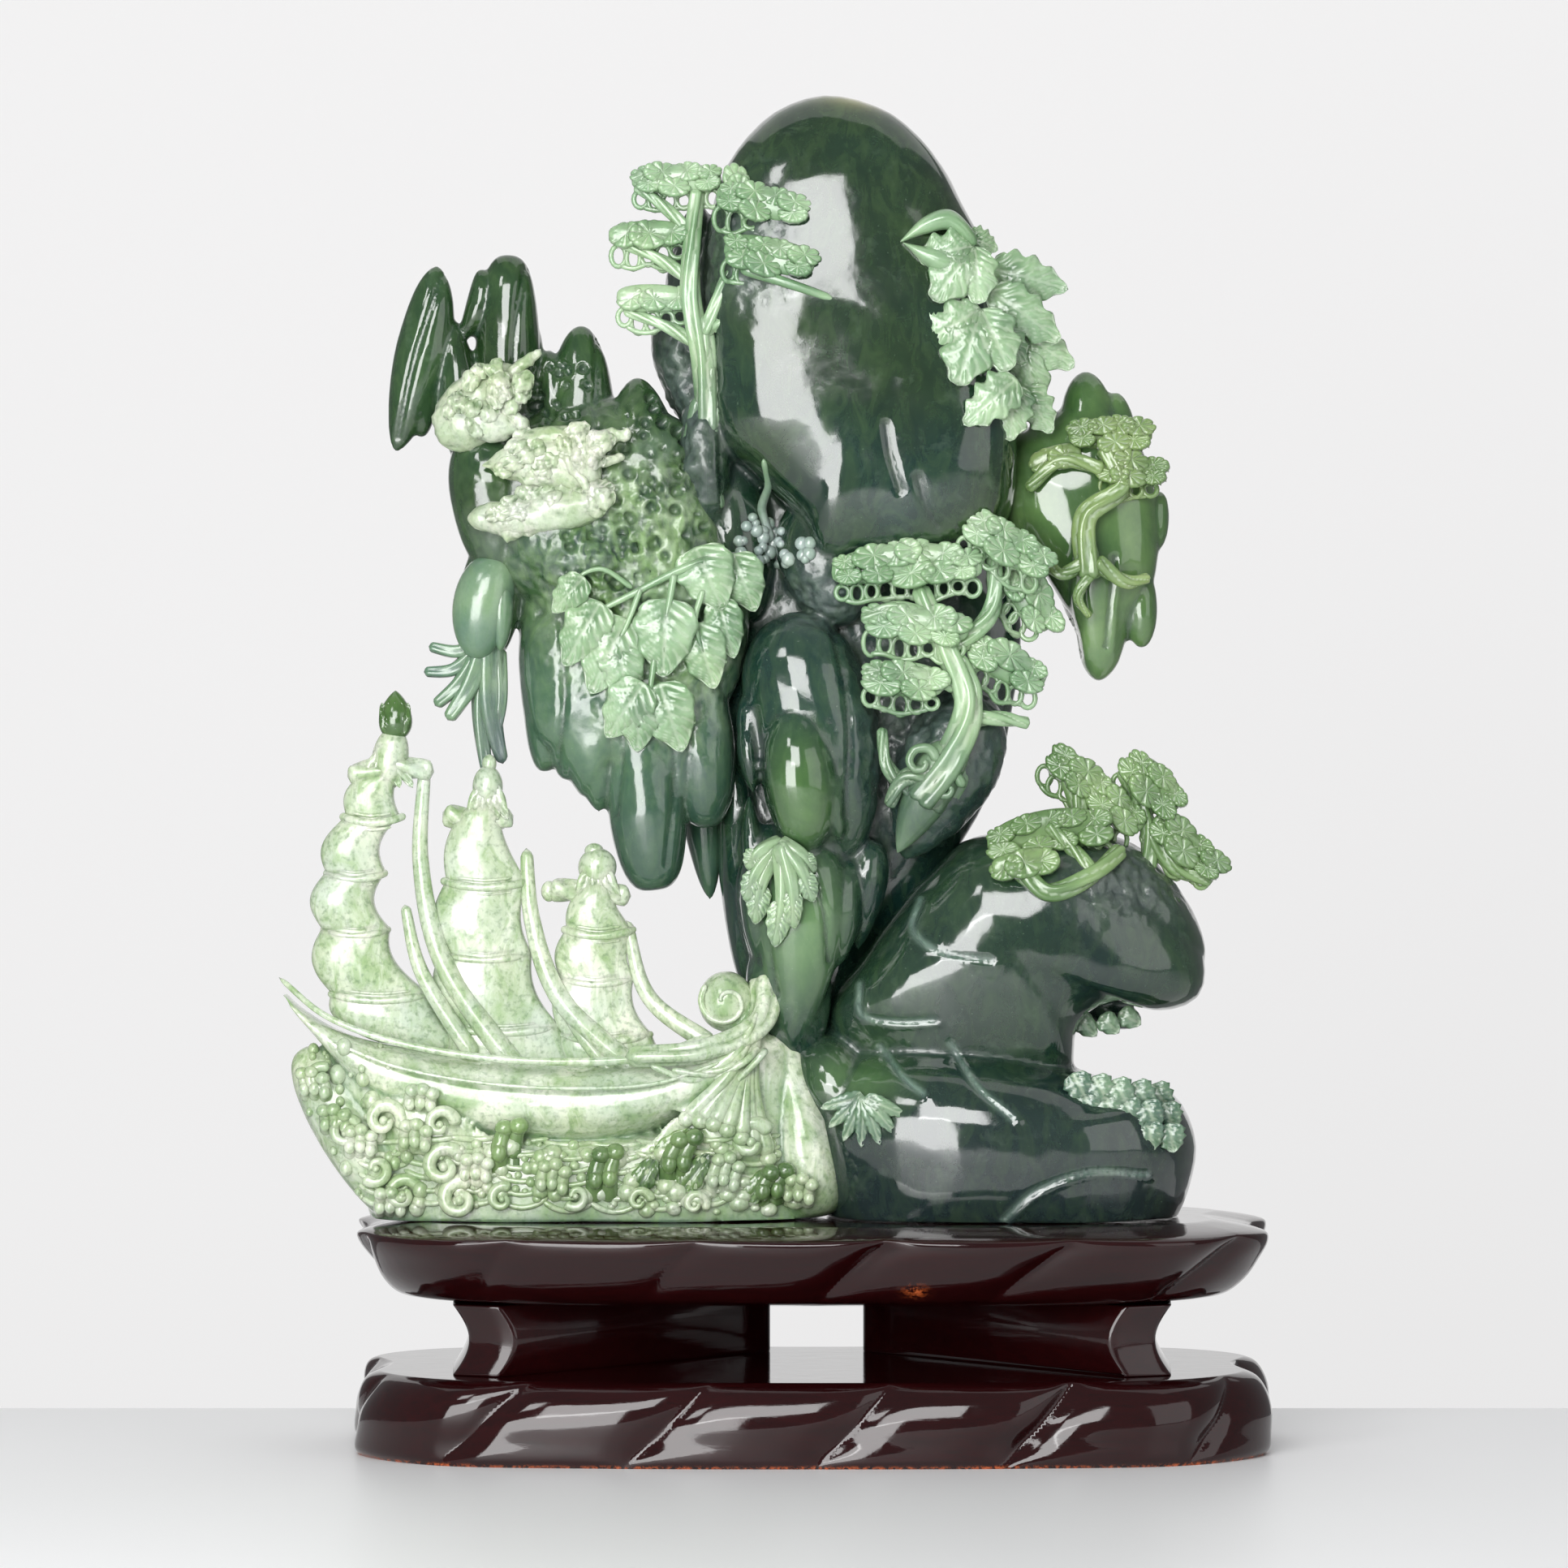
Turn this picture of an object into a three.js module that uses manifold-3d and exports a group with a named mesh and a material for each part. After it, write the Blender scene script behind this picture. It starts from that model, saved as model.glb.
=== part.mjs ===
// A jade mountain carving on its two-tier lacquered stand.
// Millimetres, +Z up, the front faces -Y, and the origin is under the middle of the stand.
import * as THREE from "three";
import { mergeVertices } from "three/addons/utils/BufferGeometryUtils.js";
import Module from "manifold-3d";

const wasm = await Module();
wasm.setup();

// Stand
const STAND_LENGTH = 400;
const STAND_DEPTH = 186;
const BASE_THICK = 35;
const WAIST_HEIGHT = 30;
const TOP_THICK = 30;
const TOP_CROWN = 4;
const CROWN_MARGIN = 24;
const TOP_UNDERCUT = 34;
const BASE_SHOULDER = 9;
const FOLD_DEPTH = 5;
const FOLDS = 13;
const FOLD_LEAN = 2.8;
const WAIST_INSET = 48;
const WAIST_GAP = 41;
const GAP_OFFSET = 2.5;
const WAIST_HOLLOW = 7;
const WAIST_WALL = 22;
const SLAB_POINTS = 6 * Math.round(FOLDS);

// Stone: a free form, laid out on squares, 140 of them to its height
const STONE_HEIGHT = 483;
const SQUARE = STONE_HEIGHT / 140;
const WAIST_Z = BASE_THICK;
const TOP_Z = WAIST_Z + WAIST_HEIGHT;
const SEAT_Z = TOP_Z + TOP_THICK + TOP_CROWN;
const SLACK = 0.9;

// A place on the stone, in squares: across to the right, up from its foot, out towards the viewer
const at = (across, up, out = 0) =>
  new THREE.Vector3(across * SQUARE, -out * SQUARE, SEAT_Z + up * SQUARE);

// A closed geometry as a solid, turned the right way out
function solid(geometry) {
  geometry.deleteAttribute("normal");
  geometry.deleteAttribute("uv");
  const merged = mergeVertices(geometry, 1e-3);
  const triVerts = new Uint32Array(merged.index.array);
  const build = () =>
    new wasm.Manifold(
      new wasm.Mesh({
        numProp: 3,
        vertProperties: merged.attributes.position.array,
        triVerts,
      }),
    );
  const made = build();
  if (made.volume() > 0) return made;
  for (let i = 0; i < triVerts.length; i += 3)
    [triVerts[i + 1], triVerts[i + 2]] = [triVerts[i + 2], triVerts[i + 1]];
  return build();
}

// Thins the skin of a solid: a corner goes to its neighbour wherever every face round it stays
// within `slack` millimetres, so the fine slivers along the joins go and the form is kept
function thinned(shape, slack) {
  const mesh = shape.getMesh();
  const step = mesh.numProp;
  const corner = (i) => new THREE.Vector3().fromArray(mesh.vertProperties, i * step);
  const points = Array.from({ length: mesh.numVert }, (_, i) => corner(i));
  const faces = [];
  const facesOf = points.map(() => new Set());
  for (let i = 0; i < mesh.triVerts.length; i += 3) {
    const face = Array.from(mesh.triVerts.subarray(i, i + 3));
    for (const v of face) facesOf[v].add(faces.length);
    faces.push(face);
  }
  const spent = points.map(() => 0);
  const plane = (face) =>
    new THREE.Plane().setFromCoplanarPoints(...face.map((v) => points[v]));
  const around = (v) => new Set([...facesOf[v]].flatMap((f) => faces[f]));

  // The distance a move from v to u costs, or Infinity where it would fold or pinch the skin
  function cost(v, u) {
    const near = around(u);
    const shared = [...around(v)].filter((w) => near.has(w) && w !== u && w !== v);
    if (shared.length !== 2) return Infinity;
    let most = 0;
    for (const f of facesOf[v]) {
      const face = faces[f];
      if (face.includes(u)) continue;
      const before = plane(face);
      const after = plane(face.map((w) => (w === v ? u : w)));
      if (!(before.normal.dot(after.normal) > 0.5)) return Infinity;
      most = Math.max(most, Math.abs(before.distanceToPoint(points[u])));
    }
    return most + spent[v];
  }

  function move(v, u, paid) {
    for (const f of facesOf[v]) {
      const face = faces[f];
      if (face.includes(u)) {
        for (const w of face) if (w !== v) facesOf[w].delete(f);
        faces[f] = null;
      } else {
        faces[f] = face.map((w) => (w === v ? u : w));
        facesOf[u].add(f);
      }
    }
    facesOf[v].clear();
    spent[u] = Math.max(spent[u], paid);
  }

  for (const reach of [slack, 4 * slack, 16 * slack, Infinity])
    for (let v = 0; v < points.length; v++) {
      const choices = [...around(v)]
        .filter((u) => u !== v && points[u].distanceTo(points[v]) < reach)
        .map((u) => [cost(v, u), u])
        .sort((one, other) => one[0] - other[0]);
      if (choices.length && choices[0][0] < slack) move(v, choices[0][1], choices[0][0]);
    }
  const kept = new THREE.BufferGeometry();
  const numbers = faces.filter(Boolean).flatMap((face) =>
    face.flatMap((v) => points[v].toArray()),
  );
  kept.setAttribute("position", new THREE.Float32BufferAttribute(numbers, 3));
  return solid(kept);
}

// A ball whose points are moved to place(along, around): along runs 0 to 1 from pole to pole
function body(around, rings, place) {
  const ball = new THREE.SphereGeometry(1, around, rings);
  const points = ball.getAttribute("position");
  const p = new THREE.Vector3();
  for (let i = 0; i < points.count; i++) {
    p.fromBufferAttribute(points, i);
    const along = Math.min(1, Math.max(0, (1 - p.y) / 2));
    const moved = place(along, Math.atan2(p.z, p.x));
    points.setXYZ(i, moved.x, moved.y, moved.z);
  }
  return solid(ball);
}

const atPole = (along) => along < 1e-6 || along > 1 - 1e-6;

// The same length, counted in even steps from ring to ring
const evenly = (along) => Math.acos(1 - 2 * along) / Math.PI;

// Share of the full width along a form: an end of 0.5 is round, 1 is pointed, 0.3 is blunt
function girth(along, [near, far]) {
  const widest = near / (near + far);
  return (
    Math.pow(along / widest, near) * Math.pow((1 - along) / (1 - widest), far)
  );
}

// A petal, drop or blade of stone between two places, half wide and deep, all in squares
function lobe(from, to, half, deep, shape = {}) {
  const { ends = [0.5, 0.5], bow = 0, around = 6, rings = 4 } = shape;
  const start = at(...from);
  const run = at(...to).sub(start);
  const out = new THREE.Vector3(0, -1, 0);
  const side = new THREE.Vector3().crossVectors(run, out).normalize();
  const front = new THREE.Vector3().crossVectors(side, run).normalize();
  return body(around, rings, (along, angle) => {
    const size = atPole(along) ? 0 : girth(along, ends);
    const aside = half * size * Math.cos(angle) + bow * 4 * along * (1 - along);
    return start
      .clone()
      .addScaledVector(run, along)
      .addScaledVector(side, SQUARE * aside)
      .addScaledVector(front, SQUARE * deep * size * Math.sin(angle));
  });
}

// A round limb through several places, from one radius to another
function limb(places, thick, thin, shape = {}) {
  const { around = 4, rings = places.length } = shape;
  const spine = new THREE.CatmullRomCurve3(places.map((p) => at(...p)));
  const up = new THREE.Vector3(0, -1, 0.3).normalize();
  return body(around, rings, (along, angle) => {
    const t = evenly(along);
    const ahead = spine.getTangent(t);
    const side = new THREE.Vector3().crossVectors(ahead, up).normalize();
    const front = new THREE.Vector3().crossVectors(side, ahead);
    const r = atPole(along) ? 0 : SQUARE * (thick + (thin - thick) * t);
    return spine
      .getPoint(t)
      .addScaledVector(side, r * Math.cos(angle))
      .addScaledVector(front, r * Math.sin(angle));
  });
}

// A boulder: a smooth outline in the plane of the picture, swelling to the front and to the back
function boulder(middle, outline, front, back, shape = {}) {
  const { around = 16, rings = 6, full = 2.4 } = shape;
  const centre = at(...middle);
  const rim = new THREE.CatmullRomCurve3(
    outline.map(([across, up]) => at(across, up, middle[2])),
    true,
  ).getSpacedPoints(around);
  return body(around, rings, (along, angle) => {
    const turn = Math.acos(1 - 2 * along);
    const step = Math.round((angle / (2 * Math.PI)) * around + around) % around;
    const power = (x) => Math.sign(x) * Math.pow(Math.abs(x), 2 / full);
    const spread = atPole(along) ? 0 : power(Math.sin(turn));
    const swell = power(Math.cos(turn));
    const out = SQUARE * swell * (swell > 0 ? front : back);
    return centre
      .clone()
      .lerp(rim[step], spread)
      .add(new THREE.Vector3(0, -out, 0));
  });
}

// A flat form between two edges, each a smooth line through places given as [across, up];
// panels puff it out, with a belly on the first edge and a bite out of the second
function ribbon(first, second, out, deep, shape = {}) {
  const { around = 6, rings = 6, ends = [0.25, 0.25] } = shape;
  const { panels = 0, belly = 0, bite = 0 } = shape;
  const edge = (places) =>
    new THREE.CatmullRomCurve3(
      places.map(([across, up]) => new THREE.Vector3(across, up, 0)),
    );
  const a = edge(first);
  const b = edge(second);
  return body(around, rings, (along, angle) => {
    const t = evenly(along);
    const size = atPole(along) ? 0 : girth(t, ends);
    const puff = Math.abs(Math.sin(Math.PI * panels * t));
    const from = a.getPoint(t);
    const to = b.getPoint(t);
    const way = from.clone().sub(to).normalize();
    from.addScaledVector(way, belly * puff);
    to.addScaledVector(way, bite * puff);
    const p = from.lerp(to, 0.5 + 0.5 * size * Math.cos(angle));
    return at(p.x, p.y, out + (deep + 0.4 * belly * puff) * size * Math.sin(angle));
  });
}

const ovoid = (c, half, tall, deep, shape) =>
  lobe([c[0], c[1] - tall, c[2]], [c[0], c[1] + tall, c[2]], half, deep, shape);

// A leaf with a broad heel, a ridge down its middle and a pointed tip
const leaf = (heel, tip, half) =>
  lobe(heel, tip, half, 1.5, { ends: [0.32, 0.75], around: 4, rings: 5 });

// A flat cloud of pine needles, with a fringe of three tufts below
function pad(from, to, half, bow = 0) {
  const mid = from.map((x, k) => (x + to[k]) / 2);
  const edge = (side) => {
    const way = new THREE.Vector2(to[0] - from[0], to[1] - from[1]).normalize();
    const shift = ([u, v], by) => [u - way.y * by, v + way.x * by];
    return [shift(from, 0.7 * side), shift(mid, side + bow), shift(to, 0.7 * side)];
  };
  const tufts = { panels: 3, belly: 1.1, bite: -0.3, rings: 7, ends: [0.2, 0.2] };
  return ribbon(edge(-half), edge(half), mid[2], 3, tufts);
}

function mountain() {
  const crown = [
    [1.5, 139.8], [8.5, 138], [14.5, 133], [19, 126], [22.2, 118], [24.5, 108],
    [25.6, 95], [24, 86], [18, 82.5], [9, 82], [1, 81], [-1.5, 86.5],
    [-7, 92], [-12, 97], [-13.2, 109], [-13, 121], [-10.5, 131], [-5, 137.3],
  ];
  const backing = [
    [6, 96], [20, 90], [26, 77], [25.8, 65], [22.5, 53], [15, 41],
    [6.5, 30], [1, 17], [-3, 16], [-8, 26], [-11.5, 41], [-12, 61], [-12.6, 82], [-9, 96],
  ];
  const shoulder = [
    [-17.5, 125], [-19, 115], [-20.3, 109], [-18.5, 103], [-15, 96], [-14, 82],
  ];
  const crack = [[-12, 128], [-11, 118], [-11, 108], [-10, 98], [-9, 88], [-6, 78]];
  return [
    boulder([5.5, 108, 1], crown, 12, 10, { around: 26, rings: 10 }),
    boulder([6, 63, -5], backing, 7, 9, { around: 16, rings: 6 }),
    ribbon(shoulder, crack, -2, 5),
    lobe([-2, 89, 3], [5, 74, 4], 5.5, 5),
  ];
}

// The back of the stone: broad plain folds that hang as the drops in front do
function rearFolds() {
  const blunt = { ends: [0.4, 0.5], rings: 5 };
  return [
    lobe([-6, 86, -8], [-8.4, 46, -8], 5.4, 6, blunt),
    lobe([3.4, 92, -11], [0, 38, -12], 6.4, 5.4, blunt),
    lobe([14, 88, -11], [9.6, 48, -10], 5.6, 5, blunt),
    lobe([21.6, 80, -8], [16.4, 54, -8], 4.6, 5, blunt),
    lobe([-21, 102, -3], [-22, 62, -4], 6, 4.6, blunt),
    lobe([-32, 101, -3], [-30.6, 68, -3], 5.6, 4.4, blunt),
    lobe([34, 99, -4], [35, 72, -3], 4.6, 3.4, blunt),
    lobe([-2, 44, -8], [-1, 2, -9], 6.4, 7, { ends: [0.5, 0.3] }),
  ];
}

// The polished drops that hang down the middle of the front
function middleDrops() {
  return [
    lobe([-3, 75, 4], [3.5, 44, 5], 8.4, 7, { ends: [0.4, 0.5], around: 8, rings: 6 }),
    lobe([-2.5, 63.6, 9], [-0.4, 45.4, 9], 5, 5, { rings: 5 }),
    lobe([2.5, 58.5, 9], [3.4, 46.8, 9], 1.6, 2.4, { around: 4 }),
    lobe([-8.2, 65, 5], [-7.5, 54, 6], 1.8, 3, { ends: [0.5, 0.8], around: 4 }),
    lobe([-7.8, 53, 4], [-7.3, 42.6, 4.6], 1.6, 2.6, { ends: [0.9, 0.6], around: 4 }),
    lobe([-1, 50, 3], [-2.7, 26, 4], 7.8, 6.4, { ends: [0.35, 0.6], around: 8, rings: 5 }),
    lobe([7.5, 47, 3], [5.6, 33, 4], 2.9, 4, { ends: [0.4, 0.9] }),
    lobe([-3.5, 33, 1], [-1.3, 15, 2], 5.4, 5.4, { ends: [0.5, 0.6] }),
    lobe([-10, 60, -2], [-7.6, 28, -1], 2.8, 5, { ends: [0.4, 0.4] }),
    lobe([-4, 46.4, 9.4], [-8, 43, 10.4], 1.5, 1.6, { around: 4 }),
    lobe([-4, 46, 9.4], [-7.4, 37, 9.6], 1.8, 1.8, { around: 4 }),
    lobe([-3.4, 46.4, 9.8], [-4.2, 33.6, 8.8], 1.9, 1.9, { ends: [0.4, 0.6], bow: 1 }),
    lobe([-3, 46.4, 9.4], [-0.2, 38.6, 9.4], 1.7, 1.8, { around: 4, bow: 0.8 }),
  ];
}

function leftCliff() {
  const mass = [
    [-43, 97], [-35, 100], [-25, 102], [-15, 98], [-11, 84], [-8, 79],
    [-8, 71], [-11, 63], [-17, 58.5], [-23, 60], [-30, 66], [-35, 76], [-40, 80], [-43, 86],
  ];
  return [
    boulder([-25, 82, 2], mass, 7.5, 8, { around: 18, rings: 6 }),
    lobe([-46.6, 118.4, 3], [-51.8, 95.2, 3], 3.5, 3, { ends: [0.6, 0.7], bow: -0.6, rings: 5 }),
    lobe([-47.2, 108.4, 2.5], [-48.7, 97, 2.5], 1.9, 2.4, { around: 4 }),
    lobe([-44.8, 111.8, 2.5], [-43, 93, 3], 2.7, 3.4, { ends: [0.6, 0.5] }),
    lobe([-37.8, 119.8, 2], [-38, 94, 2], 4.1, 4, { ends: [0.35, 0.4], rings: 5 }),
    lobe([-41, 118, 2.6], [-43.4, 109.4, 2.6], 1.7, 2.4, { bow: -0.8 }),
    lobe([-35.2, 112.4, 1], [-35, 102, 1], 1.7, 2.4, { around: 4 }),
    lobe([-28.8, 111.2, 1], [-29, 88, 1], 4.7, 4.4, { ends: [0.5, 0.3], rings: 5 }),
    lobe([-32.8, 108, 1.4], [-32, 97, 1.4], 2, 2.8, { around: 4 }),
    lobe([-21.8, 104.6, 3], [-18, 70, 4], 6.6, 6, { ends: [0.55, 0.35], bow: 0.8, rings: 6 }),
    lobe([-41, 98, 4], [-38.4, 79, 4], 5.2, 5, { ends: [0.35, 0.5] }),
    lobe([-38, 89, 6], [-23.5, 78, 7], 5.4, 4.4, { ends: [0.4, 0.4] }),
    lobe([-13, 102, -1], [-7.4, 74, 0], 5, 5, { ends: [0.5, 0.5] }),
  ];
}

// The folds of rock that hang from the left cliff
function leftDrops() {
  return [
    lobe([-34.4, 80, 2], [-33.2, 55.4, 2], 2.7, 4.4, { ends: [0.4, 0.35] }),
    lobe([-31, 75, 4], [-30, 54.4, 3], 3.1, 4.4, { ends: [0.4, 0.35] }),
    lobe([-28, 72, 4.6], [-26.4, 50.4, 4], 3.7, 4.6, { ends: [0.4, 0.6] }),
    lobe([-22, 69, 4], [-19.6, 40.6, 3.5], 5.1, 5.4, { ends: [0.35, 0.3], rings: 5 }),
    lobe([-14.5, 69, 3], [-13, 48.4, 3], 4.4, 5, { ends: [0.4, 0.4] }),
    lobe([-14.5, 60, -3], [-12.7, 39.4, -3], 2.8, 3.4, { ends: [0.4, 0.7] }),
  ];
}

// A crane in flight: a body, and feathers fanned out in its tail and in one wing
function crane(beak, tail, half, wing) {
  const [u, v, w] = tail;
  const chest = beak.map((b, k) => b + 0.45 * (tail[k] - b));
  const made = [lobe(beak, tail, half, 3, { ends: [0.8, 0.4] })];
  for (const [across, up] of [[-0.16, -0.9], [0, 0], [0.16, 0.9]])
    made.push(
      lobe([u - 4, v, w], [u + 3 + 4 * across, v + half * up, w + 0.4], 1.3, 1.8, { around: 4 }),
    );
  for (const spread of [-2.4, 0, 2.4])
    made.push(
      lobe([chest[0], chest[1], w + 1], [wing[0] + spread, wing[1], wing[2]], 1.5, 2, { around: 4 }),
    );
  return made;
}

function cranes() {
  return [
    ...crane([-46, 95.6, 6], [-38, 101.6, 5], 4.2, [-38.6, 107.4, 4.4]),
    ...crane([-41.4, 93, 8.4], [-29, 94, 8.4], 3.8, [-30.6, 90, 9.6]),
    ...crane([-43, 86.6, 8], [-29.4, 88.4, 8.6], 3.2, [-31, 82.8, 9.6]),
  ];
}

function vineLeaves() {
  return [
    limb([[-11, 81, 7], [-19, 79.5, 8.8], [-25, 74.6, 8.8]], 1, 0.9),
    limb([[-17, 79, 8.6], [-19.6, 73, 8.6], [-19.6, 65, 8.4]], 1, 0.9),
    leaf([-14, 83, 9], [-12.6, 75.6, 9.6], 3.4),
    leaf([-10.4, 82, 6.6], [-8.2, 75, 6.4], 3),
    leaf([-25, 75, 9.4], [-30.6, 65, 8.8], 3),
    leaf([-24.6, 74.4, 9.6], [-23.8, 64.6, 9.6], 3.6),
    leaf([-28.4, 69, 8], [-27.2, 61.6, 7], 2.8),
    leaf([-18.6, 77, 9.4], [-20.8, 66.6, 10], 3.2),
    leaf([-16.4, 73.4, 8.4], [-15.2, 64.4, 8.6], 2.8),
    leaf([-20, 67, 8.8], [-26, 60, 7.6], 2.9),
    leaf([-19.4, 67, 9], [-18.2, 57.6, 8.6], 3.4),
  ];
}

// The bell flower that hangs from the cliff to the middle mast
function bellFlower() {
  return [
    lobe([-39, 85, 3], [-41.2, 69, 3], 4, 3.6, { ends: [0.4, 0.4], rings: 5 }),
    limb([[-40, 72, 3], [-44, 70.2, 3.4], [-47.8, 71, 3.6]], 1.5, 0.8),
    limb([[-40.4, 72, 3], [-44.4, 68, 3.4], [-48.4, 67.8, 3.6]], 1.5, 0.8),
    limb([[-40.4, 73, 3.6], [-42.6, 66, 4], [-45.4, 61.8, 4]], 2, 1.2),
    limb([[-40.4, 73, 3], [-40, 63, 3], [-38.4, 56.4, 2.6]], 2.6, 0.9),
    limb([[-41, 66, 2.6], [-40.2, 60, 3], [-40, 53, 3]], 1.2, 1),
  ];
}

// The pine on the shoulder of the peak
function upperPine() {
  return [
    limb([[-12, 94, 4], [-13, 108, 6.4], [-15, 118, 6.4], [-14.4, 130, 5]], 2.2, 1.4, { around: 5 }),
    limb([[-13.4, 109, 7], [-9.4, 118, 9.4], [-1, 124.4, 10.6]], 1.2, 0.9),
    limb([[-12.6, 111, 7.4], [-5, 115, 10.8], [2, 113, 12]], 1.2, 0.8),
    limb([[-14.6, 116, 6.4], [-19, 119, 6], [-24, 121, 6]], 1.2, 1),
    limb([[-13.6, 108, 6], [-18, 110.6, 6], [-23.4, 112.6, 5.6]], 1.2, 0.9),
    limb([[-14.6, 122, 6], [-19, 126, 6], [-22, 128, 6]], 1.1, 0.9),
    pad([-22.6, 128.6, 5.6], [-10.6, 128.8, 6], 2.2),
    pad([-25.6, 121.6, 6], [-15, 122, 6], 2.2),
    pad([-24.6, 114, 6], [-14.6, 113.6, 6], 2.4),
    pad([-11.8, 126.4, 8.6], [-0.4, 124, 10.4], 2.5),
    pad([-11, 120, 9.6], [0.6, 117.4, 12], 2.7),
    lobe([-13.4, 102, 5], [-12.6, 86, 4], 3.2, 4, { ends: [0.5, 0.7] }),
  ];
}

// The spray of leaves on the right of the peak
function leafSpray() {
  return [
    limb([[11.6, 121, 10], [15.6, 124, 9], [20.4, 120, 7.4], [22, 111, 6.4]], 1.5, 1.3),
    limb([[21.6, 114, 6.4], [24.4, 106, 5], [25, 99, 4.6]], 1.3, 1.1),
    leaf([18.4, 121.4, 8.4], [18.4, 112, 9.6], 4.5),
    leaf([20.8, 117.6, 6.4], [32.2, 115.2, 5], 2.8),
    leaf([21, 113.8, 6], [31.4, 108.2, 4.6], 3),
    leaf([20, 113, 7.6], [18.6, 102, 9.6], 4.8),
    leaf([26.6, 110, 5], [27.8, 98, 5], 3.6),
    leaf([23.8, 104.6, 6.4], [22.2, 96, 8], 4.6),
  ];
}

function rightRock() {
  const mass = [
    [25.4, 97], [29.6, 99.6], [34.5, 103], [38.5, 100], [41.6, 95], [43.4, 87],
    [42.8, 79], [39.6, 73], [36.2, 66.2], [33, 73], [29.5, 80], [25, 88],
  ];
  return [
    boulder([34.5, 87, -1], mass, 5.6, 5, { around: 14, rings: 6 }),
    lobe([34.2, 105.6, -1], [35, 92, 0], 3.7, 3.4, { ends: [0.5, 0.4] }),
    lobe([29, 102, -1], [29.4, 90, 0], 2.7, 3, { ends: [0.7, 0.4], around: 4 }),
    lobe([25.6, 99, -1], [26.4, 84, -1], 2.6, 3.6, { ends: [0.7, 0.4] }),
    lobe([38, 103, -1], [39.4, 91, -1], 2.2, 2.8, { around: 4 }),
    lobe([43.6, 90.6, -1], [43, 83, -1], 1.6, 2, { around: 4 }),
    lobe([41.4, 80.6, 0], [41.2, 70.8, 0], 2.1, 2.4, { around: 4 }),
    limb([[34.6, 79, 3.6], [34, 87, 5], [38.4, 91, 4.6], [36, 96, 4]], 2.2, 1.4, { around: 5 }),
    limb([[36.4, 93, 4.4], [31, 94, 4.4], [26.6, 90.4, 3.6]], 1.2, 0.9),
    pad([31.6, 97.6, 3.6], [42.8, 97.8, 2.8], 2.6, 0.6),
    pad([35.6, 93.6, 4.4], [44.2, 92.6, 3], 2.4),
    pad([27, 93.4, 3], [33.6, 95.4, 3.6], 1.9),
    lobe([28.6, 82.4, 3.6], [42, 80.2, 2.8], 2.6, 2.4, { bow: 1, ends: [0.6, 0.6] }),
  ];
}

// The pine that leans out at the right of the middle
function middlePine() {
  const trunk = [[10.6, 49, 5], [17.6, 55, 7.4], [19.6, 64, 7.6], [16.6, 72, 8], [13, 80, 7]];
  return [
    limb(trunk, 2.9, 1.8, { around: 5 }),
    limb([[17, 70, 8], [22, 75, 7.6], [22.6, 83, 6.6]], 1.6, 1.4),
    limb([[18, 66, 8], [12, 68, 9], [8, 68, 9]], 1.4, 1.1),
    limb([[19, 62, 7.6], [23.4, 62, 7], [27, 61.4, 6]], 1.3, 0.8),
    pad([1.6, 80, 8], [21.8, 81, 8.6], 3, 1),
    pad([5.8, 74.4, 9.6], [20, 72.6, 9.6], 2.6),
    pad([5.8, 67.2, 9.6], [18, 65.6, 9.4], 2.6),
    pad([18.4, 86.6, 6], [29.8, 80.4, 5.4], 3, 0.6),
    pad([24, 81, 5.4], [30.2, 72.6, 5], 2.8),
    pad([18.4, 71.2, 7.6], [29.4, 66.2, 6.6], 2.8, 0.4),
    lobe([21, 65, 3], [11.4, 44.4, 4], 6.2, 5.4, { ends: [0.45, 0.7] }),
  ];
}

function rightBoulders() {
  const upper = [
    [2, 24], [8, 34.5], [14, 42], [19, 46.8], [27, 48], [37, 47.2], [43, 43],
    [47, 37], [49.2, 31.5], [48.4, 27.4], [44, 25.6], [37.4, 26.6], [33.4, 24],
    [32, 17], [22, 15], [10, 16],
  ];
  const lower = [
    [-1, 14], [2, 19], [10, 22], [20, 22], [30, 19.8], [38, 16.6], [45, 15.2],
    [47.9, 10], [48, 4], [46, -4], [38, -6], [20, -6], [4, -6], [-1, 4],
  ];
  return [
    boulder([24, 34, 0], upper, 12, 13, { around: 20, rings: 8 }),
    boulder([23, 9, -1], lower, 17.5, 17, { around: 20, rings: 8 }),
    lobe([35, 47, 0], [48.8, 31, 0], 4.4, 7.6, { ends: [0.5, 0.6] }),
    lobe([32, 26.6, -6], [41.6, 24, -6], 2.2, 4, { around: 4 }),
    lobe([-1.4, 22, 0], [7, 10, 6], 5.4, 7),
  ];
}

// The pine on top of the right boulder
function boulderPine() {
  return [
    limb([[42, 41, 1], [41.8, 49, 1.6], [38.4, 56, 2]], 1.6, 1.2),
    limb([[30.6, 57, 2], [33, 52, 2.4], [33.6, 44, 3]], 1.2, 1.1),
    pad([29.2, 58.4, 2], [42, 47.8, 2.4], 2.9),
    pad([39.2, 57, 2], [46.2, 50.4, 2], 3.2),
    pad([42, 50, 2], [51.8, 42.6, 1.6], 2.5),
    pad([20.8, 45.4, 6], [38.2, 48.4, 5], 3.8, 1),
    limb([[25, 44, 8.6], [29, 40.4, 10], [34.4, 42.6, 9], [38.6, 46, 5]], 1.3, 1),
    limb([[41.8, 48, 1.4], [45.6, 43, 1.6], [50.4, 41.8, 1.6]], 1.1, 0.9),
  ];
}

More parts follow.
